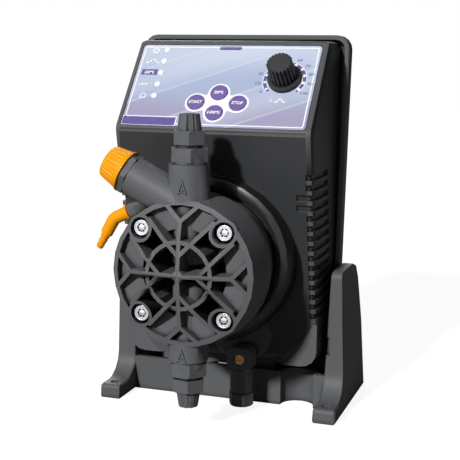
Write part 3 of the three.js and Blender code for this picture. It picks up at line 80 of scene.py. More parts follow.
def addCamera(look):
    yaw, pitch, roll = (math.radians(look[key]) for key in ("yaw", "pitch", "roll"))
    forward = Vector((-math.sin(yaw) * math.cos(pitch), math.cos(yaw) * math.cos(pitch), -math.sin(pitch)))
    side = Vector((math.cos(yaw), math.sin(yaw), 0))
    up = side.cross(forward)
    turnedSide = side * math.cos(roll) + up * math.sin(roll)
    turnedUp = up * math.cos(roll) - side * math.sin(roll)
    data = bpy.data.cameras.new("photoCamera")
    data.lens = look["lens"]
    data.sensor_width = look["sensor"]
    camera = bpy.data.objects.new("photoCamera", data)
    scene.collection.objects.link(camera)
    turn = Matrix((turnedSide, turnedUp, -forward)).transposed().to_4x4()
    camera.matrix_world = Matrix.Translation(look["place"]) @ turn
    scene.camera = camera


addCamera(cameraView)
print("camera placed")


# materials
def linear(hexColour):
    parts = [int(hexColour[place:place + 2], 16) / 255 for place in (1, 3, 5)]
    return (*[part / 12.92 if part <= 0.04045 else ((part + 0.055) / 1.055) ** 2.4 for part in parts], 1)


def addNode(tree, kind, settings=None, values=None, links=None):
    node = tree.nodes.new("ShaderNode" + kind)
    for key, value in (settings or {}).items():
        setattr(node, key, value)
    for key, value in (values or {}).items():
        node.inputs[key].default_value = value
    for key, source in (links or {}).items():
        # a node stands for its first output
        output = source if isinstance(source, bpy.types.NodeSocket) else source.outputs[0]
        tree.links.new(output, node.inputs[key])
    return node


def emptyMaterial(name):
    material = bpy.data.materials.new(name)
    material.use_nodes = True
    tree = material.node_tree
    tree.nodes.clear()
    return material, tree


def finishMaterial(tree, shader):
    addNode(tree, "OutputMaterial", links={"Surface": shader})


def surfaceMaterial(name, look):
    # colour drift over the piece, fine grain, and edges slightly rounded and rubbed to a lighter tone, which also
    # serves as a painted highlight along them
    material, tree = emptyMaterial(name)
    coord = addNode(tree, "TexCoord").outputs["Object"]
    drift = addNode(tree, "TexNoise", values={"Scale": 1 / (look["driftSize"] * mm), "Detail": 3},
                    links={"Vector": coord})
    driftShare = addNode(tree, "MapRange", values={"From Min": 0.35, "From Max": 0.65}, links={"Value": drift})
    body = addNode(tree, "Mix", {"data_type": "RGBA"}, {6: linear(look["colour"]), 7: linear(look["drift"])},
                   {0: driftShare})
    grain = addNode(tree, "TexNoise", values={"Scale": 1 / (look["grainSize"] * mm), "Detail": 2},
                    links={"Vector": coord})
    edgeNormal = addNode(tree, "Bevel", {"samples": 6}, {"Radius": look["edge"] * mm})
    flatNormal = addNode(tree, "NewGeometry")
    facing = addNode(tree, "VectorMath", {"operation": "DOT_PRODUCT"},
                     links={0: edgeNormal, 1: flatNormal.outputs["Normal"]})
    edgeShare = addNode(tree, "MapRange", values={"From Min": 0.99, "From Max": 0.8},
                        links={"Value": facing.outputs["Value"]})
    scuff = addNode(tree, "TexNoise", values={"Scale": 1 / (6 * mm), "Detail": 4}, links={"Vector": coord})
    scuffShare = addNode(tree, "MapRange", values={"From Min": 0.4, "From Max": 0.7, "To Max": look["wearAndHighlight"]},
                         links={"Value": scuff})
    # the lighter rubbed colour on edges is partly wear and partly a painted highlight
    wornAndHighlight = addNode(tree, "Math", {"operation": "MULTIPLY"}, links={0: edgeShare, 1: scuffShare})
    colour = addNode(tree, "Mix", {"data_type": "RGBA"}, {7: linear(look["wornAndHighlight"])},
                     {0: wornAndHighlight, 6: body.outputs[2]})
    if "shadeReach" in look:
        # painted shade: inner corners are darkened where an occlusion test finds nearby surfaces
        shadeOcclusion = addNode(tree, "AmbientOcclusion", {"samples": 6}, {"Distance": look["shadeReach"] * mm})
        unshadedShare = addNode(tree, "MapRange", values={"From Min": 0.3, "From Max": 0.8},
                            links={"Value": shadeOcclusion.outputs["AO"]})
        colour = addNode(tree, "Mix", {"data_type": "RGBA"}, {6: linear(look["deep"])},
                         {0: unshadedShare, 7: colour.outputs[2]})
    rough = addNode(tree, "MapRange", values={"To Min": look["roughness"] - 0.06,
                                              "To Max": look["roughness"] + 0.08}, links={"Value": grain})
    bump = addNode(tree, "Bump", values={"Strength": look["bump"], "Distance": look["grainSize"] * mm},
                   links={"Height": grain, "Normal": edgeNormal})
    shader = addNode(tree, "BsdfPrincipled", values={"Metallic": look["metallic"], "IOR": look["ior"],
                                                     "Specular IOR Level": look["specular"],
                                                     "Coat Weight": look["coat"]},
                     links={"Base Color": colour.outputs[2], "Roughness": rough, "Normal": bump})
    finishMaterial(tree, shader)
    return material


# what a finish shares with the others unless it says otherwise, and what the inks share: sizes in mm
plainFinish = {"wearAndHighlight": 0.5, "bump": 0.05, "grainSize": 0.3, "driftSize": 2, "edge": 0.3, "specular": 0.5,
               "coat": 0, "metallic": 0, "ior": 1.5}
inkFinish = {"wearAndHighlight": 0.1, "roughness": 0.45, "driftSize": 6, "edge": 0.05}
finishes = {
    # black ABS, moulded in a spark-eroded mould: an even satin grey-black with a fine grain, and painted shade in
    # its inner corners
    "mouldedAbs": {"colour": "#58595b", "drift": "#5c5d5f", "wornAndHighlight": "#77787a", "roughness": 0.5, "bump": 0.2,
                   "grainSize": 0.5, "driftSize": 40, "specular": 0.2, "shadeReach": 4, "deep": "#1c1c1d"},
    # the same ABS on the collar: a deep black colour as painted shade, and polished for sharp reflections
    "collarShadeAbs": {"colour": "#141415", "drift": "#18181a", "wornAndHighlight": "#4a4b4d", "roughness": 0.3, "grainSize": 0.5,
                    "driftSize": 40, "edge": 0.4, "specular": 0.4},
    # the housing's ABS where its faces turn sideways and where the front leans down: a darker colour as painted
    # shade, with a finer grain and a soft sheen that fades down the front
    "sideShadeAbs": {"colour": "#333436", "drift": "#363739", "wornAndHighlight": "#5c5d5f", "roughness": 0.36, "bump": 0.1,
                 "grainSize": 0.5, "driftSize": 40, "specular": 0.3},
    # the head's deep cored pockets: a dull black colour as painted shade
    "pocketShadeBlack": {"colour": "#1b1b1c", "drift": "#202021", "wornAndHighlight": "#2a2a2b", "wearAndHighlight": 0.3, "roughness": 0.7,
                   "bump": 0.2, "grainSize": 0.6, "driftSize": 10, "edge": 0.1, "specular": 0.1},
    # glass-filled polypropylene, moulded: duller, with faint flow clouds round the gates, and painted shade in its
    # inner corners
    "glassFilledHead": {"colour": "#5c5d5f", "drift": "#616264", "wornAndHighlight": "#7a7b7d", "roughness": 0.48,
                        "bump": 0.25, "grainSize": 0.6, "driftSize": 14, "edge": 0.15, "specular": 0.22,
                        "shadeReach": 3, "deep": "#101011"},
    # PVDF valve parts, machined from black rod: a little smoother than the mouldings, with painted shade in their
    # inner corners
    "machinedFluoride": {"colour": "#5a5b5d", "drift": "#606163", "wornAndHighlight": "#7c7d80", "wearAndHighlight": 0.4,
                         "roughness": 0.45, "bump": 0.15, "grainSize": 0.4, "driftSize": 10, "edge": 0.15,
                         "specular": 0.22, "shadeReach": 2.5, "deep": "#161617"},
    # orange polypropylene, moulded: saturated, slightly glossy, a touch redder where it is thick
    "orangePolypropylene": {"colour": "#ffa800", "drift": "#fd9f00", "wornAndHighlight": "#ffc24a", "wearAndHighlight": 0.4,
                            "roughness": 0.4, "bump": 0.15, "grainSize": 0.6, "driftSize": 12, "edge": 0.1,
                            "specular": 0.25},
    # black ABS knob, moulded and tumbled: darker and smoother than the case, with painted shade in its inner
    # corners
    "knobAbs": {"colour": "#353638", "drift": "#3a3b3d", "wornAndHighlight": "#707173", "wearAndHighlight": 0.4, "roughness": 0.45,
                "bump": 0.15, "grainSize": 0.35, "driftSize": 12, "edge": 0.1, "specular": 0.2, "shadeReach": 3,
                "deep": "#0c0c0d"},
    # polyester key film, embossed: purple ink under a clear satin sheet
    "keyPolyester": {"colour": "#6a569b", "drift": "#715da1", "wornAndHighlight": "#8d7bb8", "wearAndHighlight": 0.3, "roughness": 0.34,
                     "bump": 0.08, "driftSize": 5, "edge": 0.25, "coat": 0.2},
    # acrylic lamp window, moulded: milky white, glossy
    "lampAcrylic": {"colour": "#fbfbfd", "drift": "#f1f2f8", "wornAndHighlight": "#ffffff", "wearAndHighlight": 0.2, "roughness": 0.2,
                    "edge": 0.15, "ior": 1.49},
    # white silkscreen ink on the film: flat, very slightly rough
    "whiteInk": {"colour": "#fbfbff", "drift": "#f4f4fb", "wornAndHighlight": "#ffffff", **inkFinish},
    # violet silkscreen ink
    "violetInk": {"colour": "#5d4f94", "drift": "#66589c", "wornAndHighlight": "#6d5fa3", **inkFinish},
    # dark blue silkscreen ink of the dial figures
    "navyInk": {"colour": "#4d4c7c", "drift": "#55548a", "wornAndHighlight": "#5b5a8a", **inkFinish},
    # zinc-plated steel socket screws, cold headed and plated: bright silver with a fine brushed haze
    "platedSteel": {"colour": "#e6e8ea", "drift": "#d6d9dd", "wornAndHighlight": "#f6f6f6", "roughness": 0.3, "bump": 0.15,
                    "grainSize": 0.25, "driftSize": 3, "edge": 0.2, "metallic": 1},
    # brass screw, turned: warm yellow, slightly dulled
    "turnedBrass": {"colour": "#cda473", "drift": "#b98d5d", "wornAndHighlight": "#e6c79a", "roughness": 0.38, "bump": 0.15,
                    "grainSize": 0.25, "edge": 0.2, "metallic": 1},
    # soft magnetic iron of the solenoid, turned and oiled: mid grey
    "magnetIron": {"colour": "#8b8d90", "drift": "#77797c", "wornAndHighlight": "#a5a7aa", "roughness": 0.42, "bump": 0.2,
                   "driftSize": 8, "metallic": 1},
    # enamelled copper wire, wound: amber brown, glossy
    "enamelledCopper": {"colour": "#b5622e", "drift": "#9c4f22", "wornAndHighlight": "#d08a55", "wearAndHighlight": 0.3, "roughness": 0.3,
                        "bump": 0.5, "grainSize": 0.5, "driftSize": 4, "coat": 0.3},
    # nitrile rubber seals, moulded: black and dull
    "nitrileRubber": {"colour": "#2c2c2e", "drift": "#343436", "wornAndHighlight": "#48484a", "wearAndHighlight": 0.3, "roughness": 0.68,
                      "bump": 0.2, "grainSize": 0.4, "driftSize": 5, "specular": 0.2},
    # PTFE diaphragm face, skived: waxy white
    "skivedPtfe": {"colour": "#eceae4", "drift": "#e2e0d8", "wornAndHighlight": "#f6f5f1", "wearAndHighlight": 0.3, "roughness": 0.5,
                   "bump": 0.1, "grainSize": 0.4, "driftSize": 8, "ior": 1.35},
    # alumina ceramic balls, ground: cream white and glossy
    "groundAlumina": {"colour": "#f0ebdf", "drift": "#e7e1d2", "wornAndHighlight": "#f8f5ee", "wearAndHighlight": 0.2, "roughness": 0.16,
                      "bump": 0.03, "edge": 0.1, "ior": 1.76},
    # glass-epoxy circuit board with green mask: the weave shows as a faint mottle
    "maskedLaminate": {"colour": "#1f6b41", "drift": "#2a7a4c", "wornAndHighlight": "#b9ad7a", "wearAndHighlight": 0.6, "roughness": 0.35,
                       "bump": 0.2, "grainSize": 0.6, "driftSize": 3},
}

made = {name: surfaceMaterial(name, {**plainFinish, **look}) for name, look in finishes.items()}

# control label: printed polyester film, laid flat on the sloping panel
panelLook = {"centre": (0, -28.5, 162.6), "tilt": 51.5, "width": 93, "height": 49.4, "face": -0.1, "keyFace": 0.6,
             "ink": 0.03}
panelCentre = Vector(panelLook["centre"]) * mm
panelTilt = math.radians(panelLook["tilt"])
panelTurn = Matrix.Translation(panelCentre) @ Matrix.Rotation(panelTilt, 4, "X")
filmLook = {"top": "#c5cde2", "middle": "#a8b5d1", "bottom": "#a39ebb", "light": "#dde3f1", "roughness": 0.3,
            "barPitch": 34, "barTurn": 24, "linePitch": 17}


def printedFilm(look):
    # lavender and blue bands with slanting light bars under a clear satin coat
    material, tree = emptyMaterial("printedPolyester")
    coord = addNode(tree, "TexCoord").outputs["Object"]
    flat = addNode(tree, "Mapping", {"vector_type": "TEXTURE"},
                   {"Location": panelCentre, "Rotation": (panelTilt, 0, 0)}, {"Vector": coord})
    wander = addNode(tree, "TexNoise", values={"Scale": 1 / (60 * mm), "Detail": 1}, links={"Vector": flat})
    axes = addNode(tree, "SeparateXYZ", links={0: flat})
    height = addNode(tree, "Math", {"operation": "MULTIPLY_ADD"}, {1: 1 / (panelLook["height"] * mm), 2: 0.38},
                     {0: axes.outputs[1]})
    share = addNode(tree, "Math", {"operation": "MULTIPLY_ADD"}, {1: 0.25}, {0: wander, 2: height})
    bands = addNode(tree, "ValToRGB", links={0: share})
    ramp = bands.color_ramp
    ramp.interpolation = "EASE"
    ramp.elements[0].color = linear(look["bottom"])
    ramp.elements[0].position = 0.12
    ramp.elements[1].color = linear(look["top"])
    ramp.elements[1].position = 0.95
    middle = ramp.elements.new(0.5)
    middle.color = linear(look["middle"])
    slant = addNode(tree, "Mapping", {"vector_type": "TEXTURE"},
                    {"Rotation": (0, 0, math.radians(look["barTurn"]))}, {"Vector": flat})
    paint = bands.outputs[0]
    for pitch, low, most in ((look["barPitch"], 0.35, 0.3), (look["linePitch"], 0.985, 0.4)):
        # a wave repeats every 2 pi / (20 * scale)
        wave = addNode(tree, "TexWave", {"bands_direction": "Y"},
                       {"Scale": math.tau / (20 * pitch * mm), "Distortion": 0}, {"Vector": slant})
        share = addNode(tree, "MapRange", values={"From Min": low, "To Max": most},
                        links={"Value": wave.outputs[1]})
        paint = addNode(tree, "Mix", {"data_type": "RGBA"}, {7: linear(look["light"])},
                        {0: share, 6: paint}).outputs[2]
    peel = addNode(tree, "TexNoise", values={"Scale": 1 / (1.5 * mm), "Detail": 2}, links={"Vector": coord})
    bump = addNode(tree, "Bump", values={"Strength": 0.08, "Distance": 0.2 * mm}, links={"Height": peel})
    shader = addNode(tree, "BsdfPrincipled",
                     values={"Roughness": look["roughness"], "IOR": 1.57, "Specular IOR Level": 0.3},
                     links={"Base Color": paint, "Normal": bump})
    finishMaterial(tree, shader)
    return material


made["printedPolyester"] = printedFilm(filmLook)
print("materials made:", len(made))

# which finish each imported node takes
lamps = ["led_power", "led_pulse", "led_twenty", "led_hundred", "led_alarm"]
keys = ["key_start", "key_twenty", "key_stop", "key_hundred"]
headScrews = [f"head_screw_{count}" for count in range(1, 5)]
coverScrews = [f"cover_screw_{count}" for count in range(1, 5)]
nodeFinish = {
    "mouldedAbs": ["base_bracket", "front_housing", "rear_cover", "head_backplate", "connector_socket",
                   "connector_plug", "connector_gland", "power_gland", "power_gland_nut", "potentiometer"],
    "glassFilledHead": ["pump_head"],
    "machinedFluoride": ["discharge_valve_body", "suction_valve_body", "discharge_nut", "suction_nut",
                         "discharge_collet", "suction_collet", "bleed_body", "bleed_needle", "shaft_bush"],
    "orangePolypropylene": ["bleed_cap", "drain_elbow"],
    "knobAbs": ["control_knob"],
    "keyPolyester": keys,
    "lampAcrylic": lamps,
    "platedSteel": [*headScrews, *coverScrews, "return_spring", "armature_shaft", "potentiometer_shaft"],
    "turnedBrass": ["connector_screw"],
    "magnetIron": ["solenoid_yoke", "solenoid_core"],
    "enamelledCopper": ["solenoid_coil"],
    "nitrileRubber": ["cover_gasket", "discharge_o_ring", "suction_o_ring", "bleed_o_ring"],
    "skivedPtfe": ["diaphragm"],
    "groundAlumina": ["discharge_ball", "suction_ball"],
    "maskedLaminate": ["control_board"],
    "printedPolyester": ["control_label"],
}
finishOf = {node: finish for finish, nodes in nodeFinish.items() for node in nodes}
for node, finish in finishOf.items():
    for place in frame["nodes"][node].material_slots:
        place.material = made[finish]
print("nodes without a finish:", sorted(set(frame["nodes"]) - set(finishOf)))


# points nearer than this are one, in mm, and faces turned less than this are one, in degrees
mergeLook = {"solid": 0.004, "modelled": 0.002, "turn": 0.5}


# modelling helpers
def deselect():
    if bpy.context.object and bpy.context.object.mode != "OBJECT":
        bpy.ops.object.mode_set(mode="OBJECT")
    bpy.ops.object.select_all(action="DESELECT")


def pick(piece):
    deselect()
    piece.select_set(True)
    bpy.context.view_layer.objects.active = piece


def current(name):
    piece = bpy.context.object
    piece.name = name
    piece.data.name = name
    return piece


def editAll():
    bpy.ops.object.mode_set(mode="EDIT")
    bpy.ops.mesh.select_all(action="SELECT")


def leaveEdit():
    bpy.ops.object.mode_set(mode="OBJECT")


def faceOut():
    bpy.ops.mesh.select_all(action="SELECT")
    bpy.ops.mesh.normals_make_consistent(inside=False)


def settle(piece, turn=None):
    # the place goes into the mesh and the object goes back to the origin
    pick(piece)
    bpy.ops.object.transform_apply(location=True, rotation=True, scale=True)
    if turn is not None:
        piece.data.transform(turn)
        piece.data.update()


def dress(piece, finish, body):
    piece.data.materials.clear()
    piece.data.materials.append(made[finish])
    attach(piece, body)


def selectFaces(piece, wanted):
    # faces are picked in edit mode by a test on each
    data = bmesh.from_edit_mesh(piece.data)
    for face in data.faces:
        face.select = False
    data.select_flush(False)
    for face in data.faces:
        face.select_set(wanted(face))
    bmesh.update_edit_mesh(piece.data)


# the body that carries each node
bodyOf = {node: frame["nodes"][node]["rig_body"] for node in frame["nodes"]}

# axes of the turned faces, in mm: a point and a direction
headHeight = 79
valveDepth = -71
screwReach = 20
bleedTilt = math.radians(27.2)
drainTilt = math.radians(25)
headAxis = ((0, 0, headHeight), (0, 1, 0))
valveAxis = ((0, valveDepth, 0), (0, 0, 1))
bleedAxis = ((0, valveDepth, 107.4), (-math.cos(bleedTilt), 0, math.sin(bleedTilt)))
drainAxis = ((-29.3, valveDepth, 104.9), (-math.cos(drainTilt), 0, -math.sin(drainTilt)))
screwAxes = [((across, 0, headHeight + up), (0, 1, 0))
             for across in (-screwReach, screwReach) for up in (-screwReach, screwReach)]
turnedAxes = {
    "pump_head": [headAxis, valveAxis, bleedAxis, drainAxis, *screwAxes], "front_housing": [headAxis],
    "discharge_valve_body": [valveAxis], "suction_valve_body": [valveAxis], "discharge_nut": [valveAxis],
    "suction_nut": [valveAxis], "bleed_body": [bleedAxis],
}
# the head's domed front: a centre and a radius
domes = {"pump_head": ((0, 13.9, headHeight), 100)}
# how near a face has to come to a turned wall or the dome: gaps in mm, the rest as cosines and shares
nearLook = {"domeGap": 0.12, "domeFacing": 0.998, "wall": 0.25, "reach": 0.8, "facing": 0.97, "spread": 0.02}
# where the collar, the cored pockets and the round channels across them lie, in mm
zoneLook = {"collar": 41.6, "collarBack": -24, "pocket": 28.5, "pocketFront": -76.8, "pocketBack": -60,
            "channelCore": 2, "channel": 8, "ports": 8}
# how a face has to be turned to lie in its zone: parts of its normal
facingLook = {"side": 0.9, "level": 0.1, "leanLow": 0.12, "leanHigh": 0.3, "upright": 0.2, "front": 0.1}


# faces that take a darker copy of their moulding as painted shade, found by their middle in mm and their normal
def fromHead(spot):
    return math.hypot(spot.x, spot.z - headHeight)


def isLeanFront(spot, normal):
    isFront = abs(normal.x) < facingLook["level"] and normal.y < -facingLook["side"]
    return isFront and facingLook["leanLow"] < abs(normal.z) < facingLook["leanHigh"]


# the collar, which takes painted shade
def isShadedCollar(spot, normal):
    isRound = fromHead(spot) < zoneLook["collar"] and spot.y < zoneLook["collarBack"]
    return isRound and not isLeanFront(spot, normal)


# faces turned sideways, and the leaning front, which take painted shade
def isShadedHousingFace(spot, normal):
    return abs(normal.x) > facingLook["side"] or isLeanFront(spot, normal)


def isShadedPocket(spot, normal):
    # floors and walls of the cored pockets, which take painted shade, but not the two rounded channels that cross
    # them
    fromValves = math.hypot(spot.x, spot.y - valveDepth)
    isRound = zoneLook["channelCore"] < fromValves < zoneLook["channel"]
    isFront = abs(normal.z) < facingLook["upright"] and normal.y < -facingLook["front"]
    isChannel = isRound and isFront and abs(spot.z - headHeight) > zoneLook["ports"]
    isDeep = zoneLook["pocketFront"] < spot.y < zoneLook["pocketBack"]
    return isDeep and fromHead(spot) < zoneLook["pocket"] and not isChannel


# painted shade: each moulding's faces that take a darker copy, with the test that finds them
paintedShadeFinish = {
    "front_housing": [("sideShadeAbs", isShadedHousingFace), ("collarShadeAbs", isShadedCollar)],
    "rear_cover": [("sideShadeAbs", isShadedHousingFace)],
    "pump_head": [("pocketShadeBlack", isShadedPocket)],
}


def turnedNormals(piece, axes, dome):
    # a face that lies on a turned wall or the dome takes its exact direction at its corners, so it shades evenly
    mesh = piece.data
    normals = [Vector(corner.vector) for corner in mesh.corner_normals]
    changed = 0
    for face in mesh.polygons:
        corners = [mesh.vertices[mesh.loops[place].vertex_index].co for place in face.loop_indices]
        if dome:
            centre, radius = Vector(dome[0]) * mm, dome[1] * mm
            away = (face.center - centre).normalized()
            onDome = all(abs((corner - centre).length - radius) < nearLook["domeGap"] * mm for corner in corners)
            if onDome and face.normal.dot(away) > nearLook["domeFacing"]:
                for place, corner in zip(face.loop_indices, corners):
                    normals[place] = (corner - centre).normalized()
                changed += 1
                continue
        for spot, heading in axes:
            spot, heading = Vector(spot) * mm, Vector(heading)
            lean = face.normal.dot(heading)
            flat = face.normal - heading * lean
            if flat.length < nearLook["wall"]:
                continue
            outs = []
            for corner in corners:
                along = (corner - spot).dot(heading)
                out = corner - spot - heading * along
                outs.append((out, out.length + lean / flat.length * along * (1 if flat.dot(out) > 0 else -1)))
            reach = min(out.length for out, level in outs)
            levels = [level for out, level in outs]
            middle = sum((out for out, level in outs), Vector()) / len(outs)
            facing = flat.normalized().dot(middle.normalized()) if middle.length else 0
            isOff = max(levels) - min(levels) > nearLook["spread"] * (reach + mm)
            if isOff or reach < nearLook["reach"] * mm or abs(facing) < nearLook["facing"]:
                continue
            for place, (out, level) in zip(face.loop_indices, outs):
                slope = normals[place].dot(heading)
                level = math.sqrt(max(1 - slope * slope, 0))
                normals[place] = out.normalized() * level * (1 if facing > 0 else -1) + heading * slope
            changed += 1
            break
    mesh.normals_split_custom_set(normals)
    return changed


def softened(node, turn):
    # a merged copy of a shown solid, smooth up to this angle between its faces
    source = frame["nodes"][node]
    piece = source.copy()
    piece.data = source.data.copy()
    piece.name = node + "_moulding"
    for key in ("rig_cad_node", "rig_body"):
        if key in piece:
            del piece[key]
    piece.parent = None
    scene.collection.objects.link(piece)
    pick(piece)
    editAll()
    bpy.ops.mesh.remove_doubles(threshold=mergeLook["solid"] * mm)
    bpy.ops.mesh.dissolve_limited(angle_limit=math.radians(mergeLook["turn"]))
    leaveEdit()
    bpy.ops.object.shade_smooth_by_angle(angle=math.radians(turn))
    weigh = piece.modifiers.new("weigh", "WEIGHTED_NORMAL")
    weigh.keep_sharp = True
    bpy.ops.object.modifier_apply(modifier="weigh")
    for finish, wanted in paintedShadeFinish.get(node, []):
        piece.data.materials.append(made[finish])
        for face in piece.data.polygons:
            if wanted(face.center / mm, face.normal):
                face.material_index = len(piece.data.materials) - 1
    if node in turnedAxes:
        print(node, "turned faces:", turnedNormals(piece, turnedAxes[node], domes.get(node)))
    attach(piece, bodyOf[node])
    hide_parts(node)


# an edge sharper than this stays sharp; the collets' slots need a finer limit
sharpTurn = 28
colletTurn = 18
shown = ["base_bracket", "front_housing", "rear_cover", "pump_head", "discharge_valve_body", "suction_valve_body",
         "discharge_nut", "suction_nut", "discharge_collet", "suction_collet", "bleed_body", "connector_plug",
         "connector_gland", "power_gland", "connector_screw", *headScrews, *keys]
for node in shown:
    softened(node, colletTurn if node.endswith("collet") else sharpTurn)
print("mouldings softened:", len(shown))


# turned and swept pieces: a ring of edges is pushed along and grown, step by step
def openRing(name, sides, radius, start=0.0):
    bpy.ops.mesh.primitive_circle_add(vertices=sides, radius=radius * mm, fill_type="NOTHING",
                                      location=(0, 0, start * mm))
    piece = current(name)
    pick(piece)
    bpy.ops.object.transform_apply(location=True, rotation=False, scale=False)
    editAll()
    return piece


def ringCentre(piece):
    data = bmesh.from_edit_mesh(piece.data)
    spots = [vertex.co for vertex in data.verts if vertex.select]
    return sum(spots, Vector()) / len(spots)


def pushRing(piece, move, grow=1.0):
    # what is selected, a ring or a sheet, is extruded by a move in mm and grown about its middle
    bpy.ops.mesh.extrude_region_move(TRANSFORM_OT_translate={"value": [part * mm for part in move]})
    if grow != 1.0:
        bpy.ops.transform.resize(value=(grow, grow, grow), center_override=ringCentre(piece))


def pushRings(piece, steps, radius, heading=Vector((0, 0, 1))):
    # steps of a move along the heading and the radius reached there
    for move, reach in steps:
        pushRing(piece, heading * move, reach / radius)
        radius = reach
    return radius


def closeEnds(piece):
    # every open ring gets its face, then the shell is turned outwards
    bpy.ops.mesh.select_all(action="DESELECT")
    bpy.ops.mesh.select_mode(type="EDGE")
    bpy.ops.mesh.select_non_manifold(extend=False)
    bpy.ops.mesh.fill_holes(sides=0)
    bpy.ops.mesh.select_mode(type="VERT")
    bpy.ops.mesh.select_all(action="SELECT")
    bpy.ops.mesh.remove_doubles(threshold=mergeLook["modelled"] * mm)
    faceOut()


def smoothed(piece, turn):
    if bpy.context.object.mode != "OBJECT":
        leaveEdit()
    pick(piece)
    bpy.ops.object.shade_smooth_by_angle(angle=math.radians(turn))


def closeSmooth(piece, turn):
    closeEnds(piece)
    smoothed(piece, turn)


def selectPoints(piece, wanted):
    bpy.ops.mesh.select_all(action="DESELECT")
    data = bmesh.from_edit_mesh(piece.data)
    for vertex in data.verts:
        vertex.select = wanted(vertex.co)
    data.select_flush(True)
    bmesh.update_edit_mesh(piece.data)


def flute(piece, count, low, high, depth, perFlute=4):
    # the point at the foot of each flute is drawn in, between two heights
    def isGroove(spot):
        share = math.atan2(spot.y, spot.x) / math.tau * count
        isFoot = abs(share - round(share)) < 0.5 / perFlute
        return isFoot and low * mm < spot.z < high * mm and spot.xy.length > depth * mm * 4
    selectPoints(piece, isGroove)
    radius = max((vertex.co.xy.length for vertex in bmesh.from_edit_mesh(piece.data).verts if vertex.select),
                 default=mm)
    share = 1 - depth * mm / radius
    bpy.ops.transform.resize(value=(share, share, 1), center_override=(0, 0, 0))


def axisFrame(axis, up):
    # a frame on an axis: z along it, y along the given direction
    spot, heading = Vector(axis[0]) * mm, Vector(axis[1]).normalized()
    side = Vector(up).cross(heading).normalized()
    turn = Matrix((side, heading.cross(side), heading)).transposed().to_4x4()
    return Matrix.Translation(spot) @ turn


# bleed cap: a smooth skirt that flares over the body, and 24 fine flutes up to a rounded edge
capLook = {"start": 34.6, "hollow": 7.4, "hollowDepth": 2.2, "flutes": 24, "depth": 0.42, "fluteLow": 2.4,
           "fluteHigh": 10.2, "smooth": 22,
           # how far each ring stands above the one before, and its radius: skirt, waist, grip and top edge
           "rings": [(0.0, 10.0), (0.15, 10.15), (0.55, 10.1), (0.5, 9.55), (0.8, 9.35), (0.6, 9.25), (6.4, 8.05),
                     (0.9, 7.8), (0.5, 7.4), (0.3, 6.6)]}
cap = openRing("bleed_cap_grip", capLook["flutes"] * 4, capLook["hollow"],
               capLook["start"] + capLook["hollowDepth"])
pushRing(cap, (0, 0, -capLook["hollowDepth"]))
pushRings(cap, capLook["rings"], capLook["hollow"])
closeEnds(cap)
flute(cap, capLook["flutes"], capLook["start"] + capLook["fluteLow"], capLook["start"] + capLook["fluteHigh"],
      capLook["depth"])
smoothed(cap, capLook["smooth"])
settle(cap, axisFrame(bleedAxis, (0, 1, 0)))
dress(cap, "orangePolypropylene", bodyOf["bleed_cap"])
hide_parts("bleed_cap")
print("bleed cap made")

# drain elbow: a flared foot, one smooth bend and a barbed nozzle
elbowLook = {"foot": 3.8, "gap": 0.3, "sides": 28, "bend": 36.0, "bendRadius": 5.5, "bendSteps": 8, "smooth": 32,
             # each ring's distance from the one before and its radius: foot and tube, shoulder, tip and bore
             "tube": [(0.9, 3.75), (0.5, 3.55), (0.8, 3.17), (1.2, 3.05), (3.4, 3.05)],
             "shoulder": [(6.6, 2.9), (0.25, 2.6), (0.0, 1.8)],
             "tip": [(0.3, 1.45), (0.0, 0.9), (-4.0, 0.9)],
             "barbs": 3, "barbFirst": 2.05, "barbLast": 1.75, "barb": [(0.5, -0.25), (0.15, 0.2), (1.85, -0.15)]}
elbow = openRing("drain_elbow_tube", elbowLook["sides"], elbowLook["foot"], elbowLook["gap"])
radius = pushRings(elbow, elbowLook["tube"], elbowLook["foot"])
bend = math.radians(elbowLook["bend"])
hub = ringCentre(elbow) - Vector((elbowLook["bendRadius"] * mm, 0, 0))
bpy.ops.mesh.spin(steps=elbowLook["bendSteps"], angle=bend, center=hub, axis=(0, 1, 0))
steps = list(elbowLook["shoulder"])
for count in range(elbowLook["barbs"]):
    share = count / (elbowLook["barbs"] - 1)
    swell = elbowLook["barbFirst"] * (1 - share) + elbowLook["barbLast"] * share
    steps += [(move, swell + out) for move, out in elbowLook["barb"]]
steps += elbowLook["tip"]
pushRings(elbow, steps, radius, Vector((-math.sin(bend), 0, math.cos(bend))))
closeSmooth(elbow, elbowLook["smooth"])
settle(elbow, axisFrame(drainAxis, (0, 1, 0)))
dress(elbow, "orangePolypropylene", bodyOf["drain_elbow"])
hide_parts("drain_elbow")
print("drain elbow made")

# control knob: a flat flange and a tapered grip with 20 flutes, both standing on the panel
knobLook = {"place": (31.3, 4.1), "flange": 8.1, "foot": 0.35, "sides": 72, "smooth": 30,
            "flangeRings": [(1.95, 8.1), (0.2, 7.9)],
            "grip": 6.4, "gripFoot": 2.1, "flutes": 20, "depth": 0.85, "fluteHigh": 14, "gripSmooth": 24,
            "gripRings": [(10.65, 6.1), (0.25, 5.85)]}
flange = openRing("knob_flange", knobLook["sides"], knobLook["flange"], knobLook["foot"])
pushRings(flange, knobLook["flangeRings"], knobLook["flange"])
closeSmooth(flange, knobLook["smooth"])
grip = openRing("knob_grip", knobLook["flutes"] * 4, knobLook["grip"], knobLook["gripFoot"])
pushRings(grip, knobLook["gripRings"], knobLook["grip"])
closeEnds(grip)
flute(grip, knobLook["flutes"], 0, knobLook["fluteHigh"], knobLook["depth"])
smoothed(grip, knobLook["gripSmooth"])
for part in (flange, grip):
    settle(part, panelTurn @ Matrix.Translation(Vector((*knobLook["place"], 0)) * mm))
    dress(part, "knobAbs", bodyOf["control_knob"])
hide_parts("control_knob")
print("knob made")

